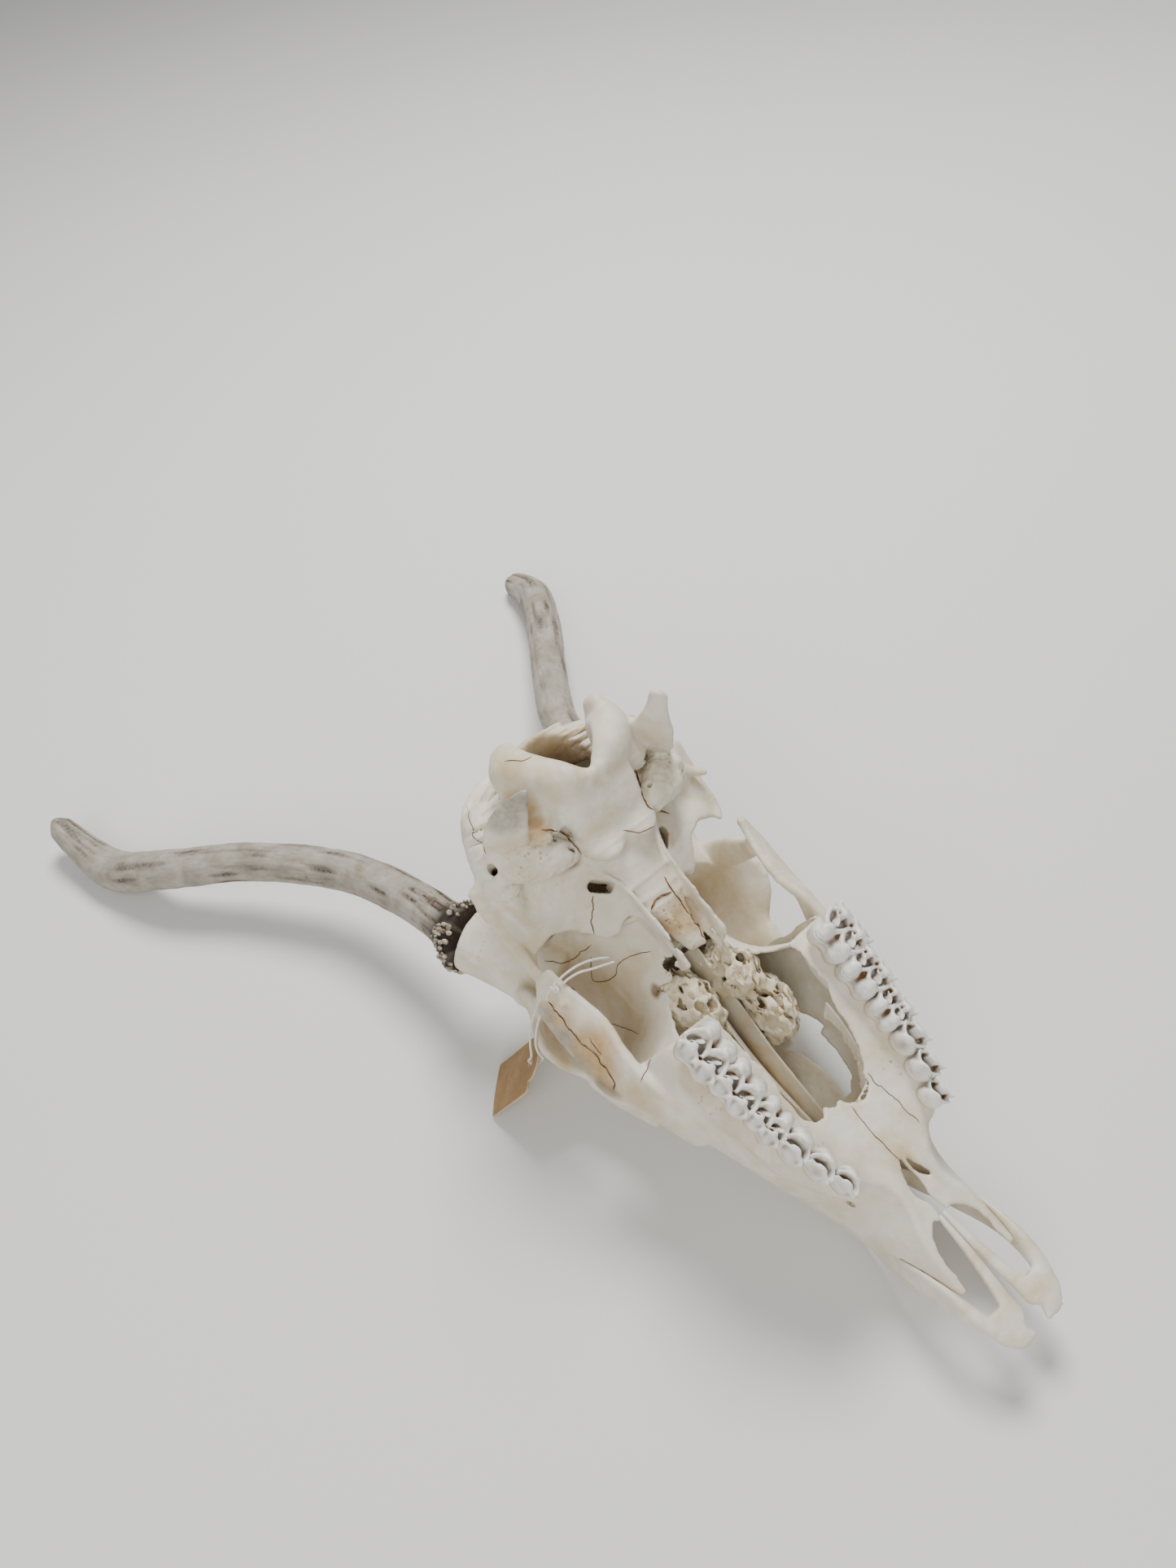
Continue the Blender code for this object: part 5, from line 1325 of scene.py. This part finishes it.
def make_antler(side):
    """A spike: rings along a smooth line, their radius cut by lengthwise grooves and swollen by pearls."""
    sign = 1 if side == "right" else -1
    seed = 80 if side == "right" else 90
    line = evenly(through(np.array(FOOT + SPIKES[side]) * (sign, 1, 1, 1), 12), ANTLER_RINGS)
    shape = (ANTLER_RINGS, ANTLER_SIDES)
    middle, radius = line[:, :3], line[:, 3:]
    run = np.concatenate([[0], np.cumsum(np.linalg.norm(np.diff(middle, axis=0), axis=1))])[:, None]
    _, across, beside = frames_along(middle, ACROSS_FOOT)
    angle = np.linspace(0, 2 * math.pi, ANTLER_SIDES, endpoint=False)
    out = around(angle, across, beside)
    chart = all_points(9 * np.cos(angle)[None], 9 * np.sin(angle)[None], run / 7)
    surface = (middle[:, None] + out * radius[..., None]).reshape(-1, 3)
    groove = lattice(chart, 2.4, seed).reshape(shape)
    hair = lattice(chart * (1, 1, 2), 1.1, seed + 1).reshape(shape)
    lumps = rough(surface, 9, seed + 2, 3).reshape(shape)
    knobs = np.clip(lattice(surface, 3.0, seed + 3), 0, 1).reshape(shape)
    low_knobs = np.clip(lattice(surface, 4.5, seed + 4) - 0.45, 0, 1).reshape(shape)
    burr = np.clip(1 - np.abs(run - 5.2) / 4.2, 0, 1)
    near_burr = np.clip(1 - (run - 8) / 26, 0, 1) * (run > 8)
    shaft = np.clip((run - 7) / 6, 0, 1)
    tip = np.clip((run[-1] - run) / 14, 0, 1)
    height = shaft * tip * (0.35 * groove + 0.12 * hair) + 0.35 * lumps * tip
    height = height + burr * (2.6 * knobs - 0.9) + near_burr * 2.2 * low_knobs
    start = np.clip(run / 1.2, 0.0, 1)
    end = np.sqrt(np.clip((run[-1] - run) / 6.5, 0, 1))
    grown = np.maximum(radius - 0.25 + height, 0.4) * (0.55 + 0.45 * start) * np.maximum(end, 0.02)
    points, faces = capped(middle[:, None] + out * grown[..., None], middle)
    name = f"antler_{side}"
    piece = new_piece(f"{name}_spike", on_crown(points), faces, ANTLER, [name])
    dark = np.clip(-groove * 1.5 - 0.15, 0, 1) * 0.85 + np.clip(-hair - 0.3, 0, 1) * 0.5
    dark = dark * (0.9 + 2.2 * np.clip(1 - (run - 8) / 50, 0, 1)) * shaft
    stained = np.clip((20 - run) / 10, 0, 1) * np.clip(1.1 - 0.4 * np.clip(groove, 0, 1), 0, 1)
    pearls = (burr * np.clip(knobs * 1.6 - 0.55, 0, 1) + near_burr * np.clip(low_knobs * 2.4, 0, 1)) * 0.9
    for attribute, values in (("streak", dark), ("burr", stained), ("pearl", np.clip(pearls, 0, 1))):
        paint(piece, attribute, np.concatenate([values.reshape(-1), [0, 0]]))


def make_pearls(side):
    """The burr's pearls: small eggs set at random round the foot of the spike, their long axes along it."""
    sign = 1 if side == "right" else -1
    chance = np.random.default_rng(60 + sign)
    line = evenly(through(np.array(FOOT) * (sign, 1, 1, 1), 12), 60)
    along = np.gradient(line[:, :3], axis=0)
    along /= np.linalg.norm(along, axis=1)[:, None]
    turn = np.linspace(0, 2 * math.pi, PEARL_SIDES, endpoint=False)
    rise = np.linspace(0, math.pi, PEARL_RINGS + 2)[1:-1]
    rings = [(math.sin(b) * math.cos(a), math.sin(b) * math.sin(a), math.cos(b)) for b in rise for a in turn]
    poles = np.array([(0, 0, 1), (0, 0, -1)], float)
    ball, (quads, near, far) = capped(np.array(rings).reshape(PEARL_RINGS, PEARL_SIDES, 3), poles)
    points = []
    for _ in range(PEARLS):
        place = int(3 + 38 * chance.uniform() ** 1.3)
        axis = along[place]
        across = np.cross(axis, ACROSS_FOOT)
        across /= np.linalg.norm(across)
        angle = chance.uniform(0, 2 * math.pi)
        out = math.cos(angle) * across + math.sin(angle) * np.cross(axis, across)
        size = chance.uniform(0.4, 1.1) * (1.0 if place < 24 else 0.7)
        middle = line[place, :3] + out * (line[place, 3] - 0.1 + 0.2 * size)
        egg_shape = ball * size * (1, 0.95, chance.uniform(1.1, 1.8))
        dents = np.stack([lattice(ball + 7 * len(points), 0.7, k) for k in range(3)], 1)
        points.append(middle + (egg_shape + 0.12 * size * dents) @ (out, np.cross(axis, out), axis))
    first = len(ball) * np.arange(PEARLS)[:, None, None]
    walls = (quads[:, ::-1] + first).reshape(-1, 4)
    ends = (np.concatenate([near, far])[:, ::-1] + first).reshape(-1, 3)
    name = f"antler_{side}"
    new_piece(f"{name}_pearls", on_crown(np.concatenate(points)), [walls, ends], PEARL, [name])


# Floor and light

def make_studio():
    """A pale floor, a broad soft key from the far right, and a dim even fill."""
    half = 6.0
    data = bpy.data.meshes.new("floor")
    square = [(-half, -half, 0), (half, -half, 0), (half, half, 0), (-half, half, 0)]
    data.from_pydata(square, [], [(0, 1, 2, 3)])
    look = Look("studio_floor", 0.9, 0.2, "#e4e3e0")
    look.coat("#dfdedb", look.spread((900, 2, 0.5), (0.3, 0.7)))
    data.materials.append(look.finish())
    floor = bpy.data.objects.new("floor", data)
    bpy.context.scene.collection.objects.link(floor)
    for name, place, target, width, power in (
            ("key", (0.5, 0.45, 1.25), (0, 0, 0.06), 0.6, 23),
            ("fill", (-0.8, -0.7, 1.0), (0, 0, 0.05), 1.1, 12)):
        lamp = bpy.data.lights.new(name, "AREA")
        lamp.shape = "DISK"
        lamp.size = width
        lamp.energy = power
        light = bpy.data.objects.new(name, lamp)
        aim = Vector(target) - Vector(place)
        light.matrix_world = Matrix.Translation(place) @ aim.to_track_quat("-Z", "Y").to_matrix().to_4x4()
        bpy.context.scene.collection.objects.link(light)
    world = bpy.data.worlds.new("studio")
    world.use_nodes = True
    sky = world.node_tree.nodes["Background"].inputs
    sky["Color"].default_value = linear("#f2f2f4")
    sky["Strength"].default_value = 0.36
    bpy.context.scene.world = world


loop, tied = make_string()
tag_piece = make_tag()
on_floor(STRING_LOOP[0])
on_floor(through(STRING_LOOP, 10))
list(tied)
make_cracks(make_skull())
make_scrolls()
make_vomer()
make_premaxillae()
for tooth_side in ("right", "left"):
    for tooth_number, sizes in enumerate(TEETH, start=1):
        make_tooth(tooth_side, tooth_number, *sizes)
for make in (make_antler, make_pearls):
    for antler_side in ("right", "left"):
        make(antler_side)
make_studio()
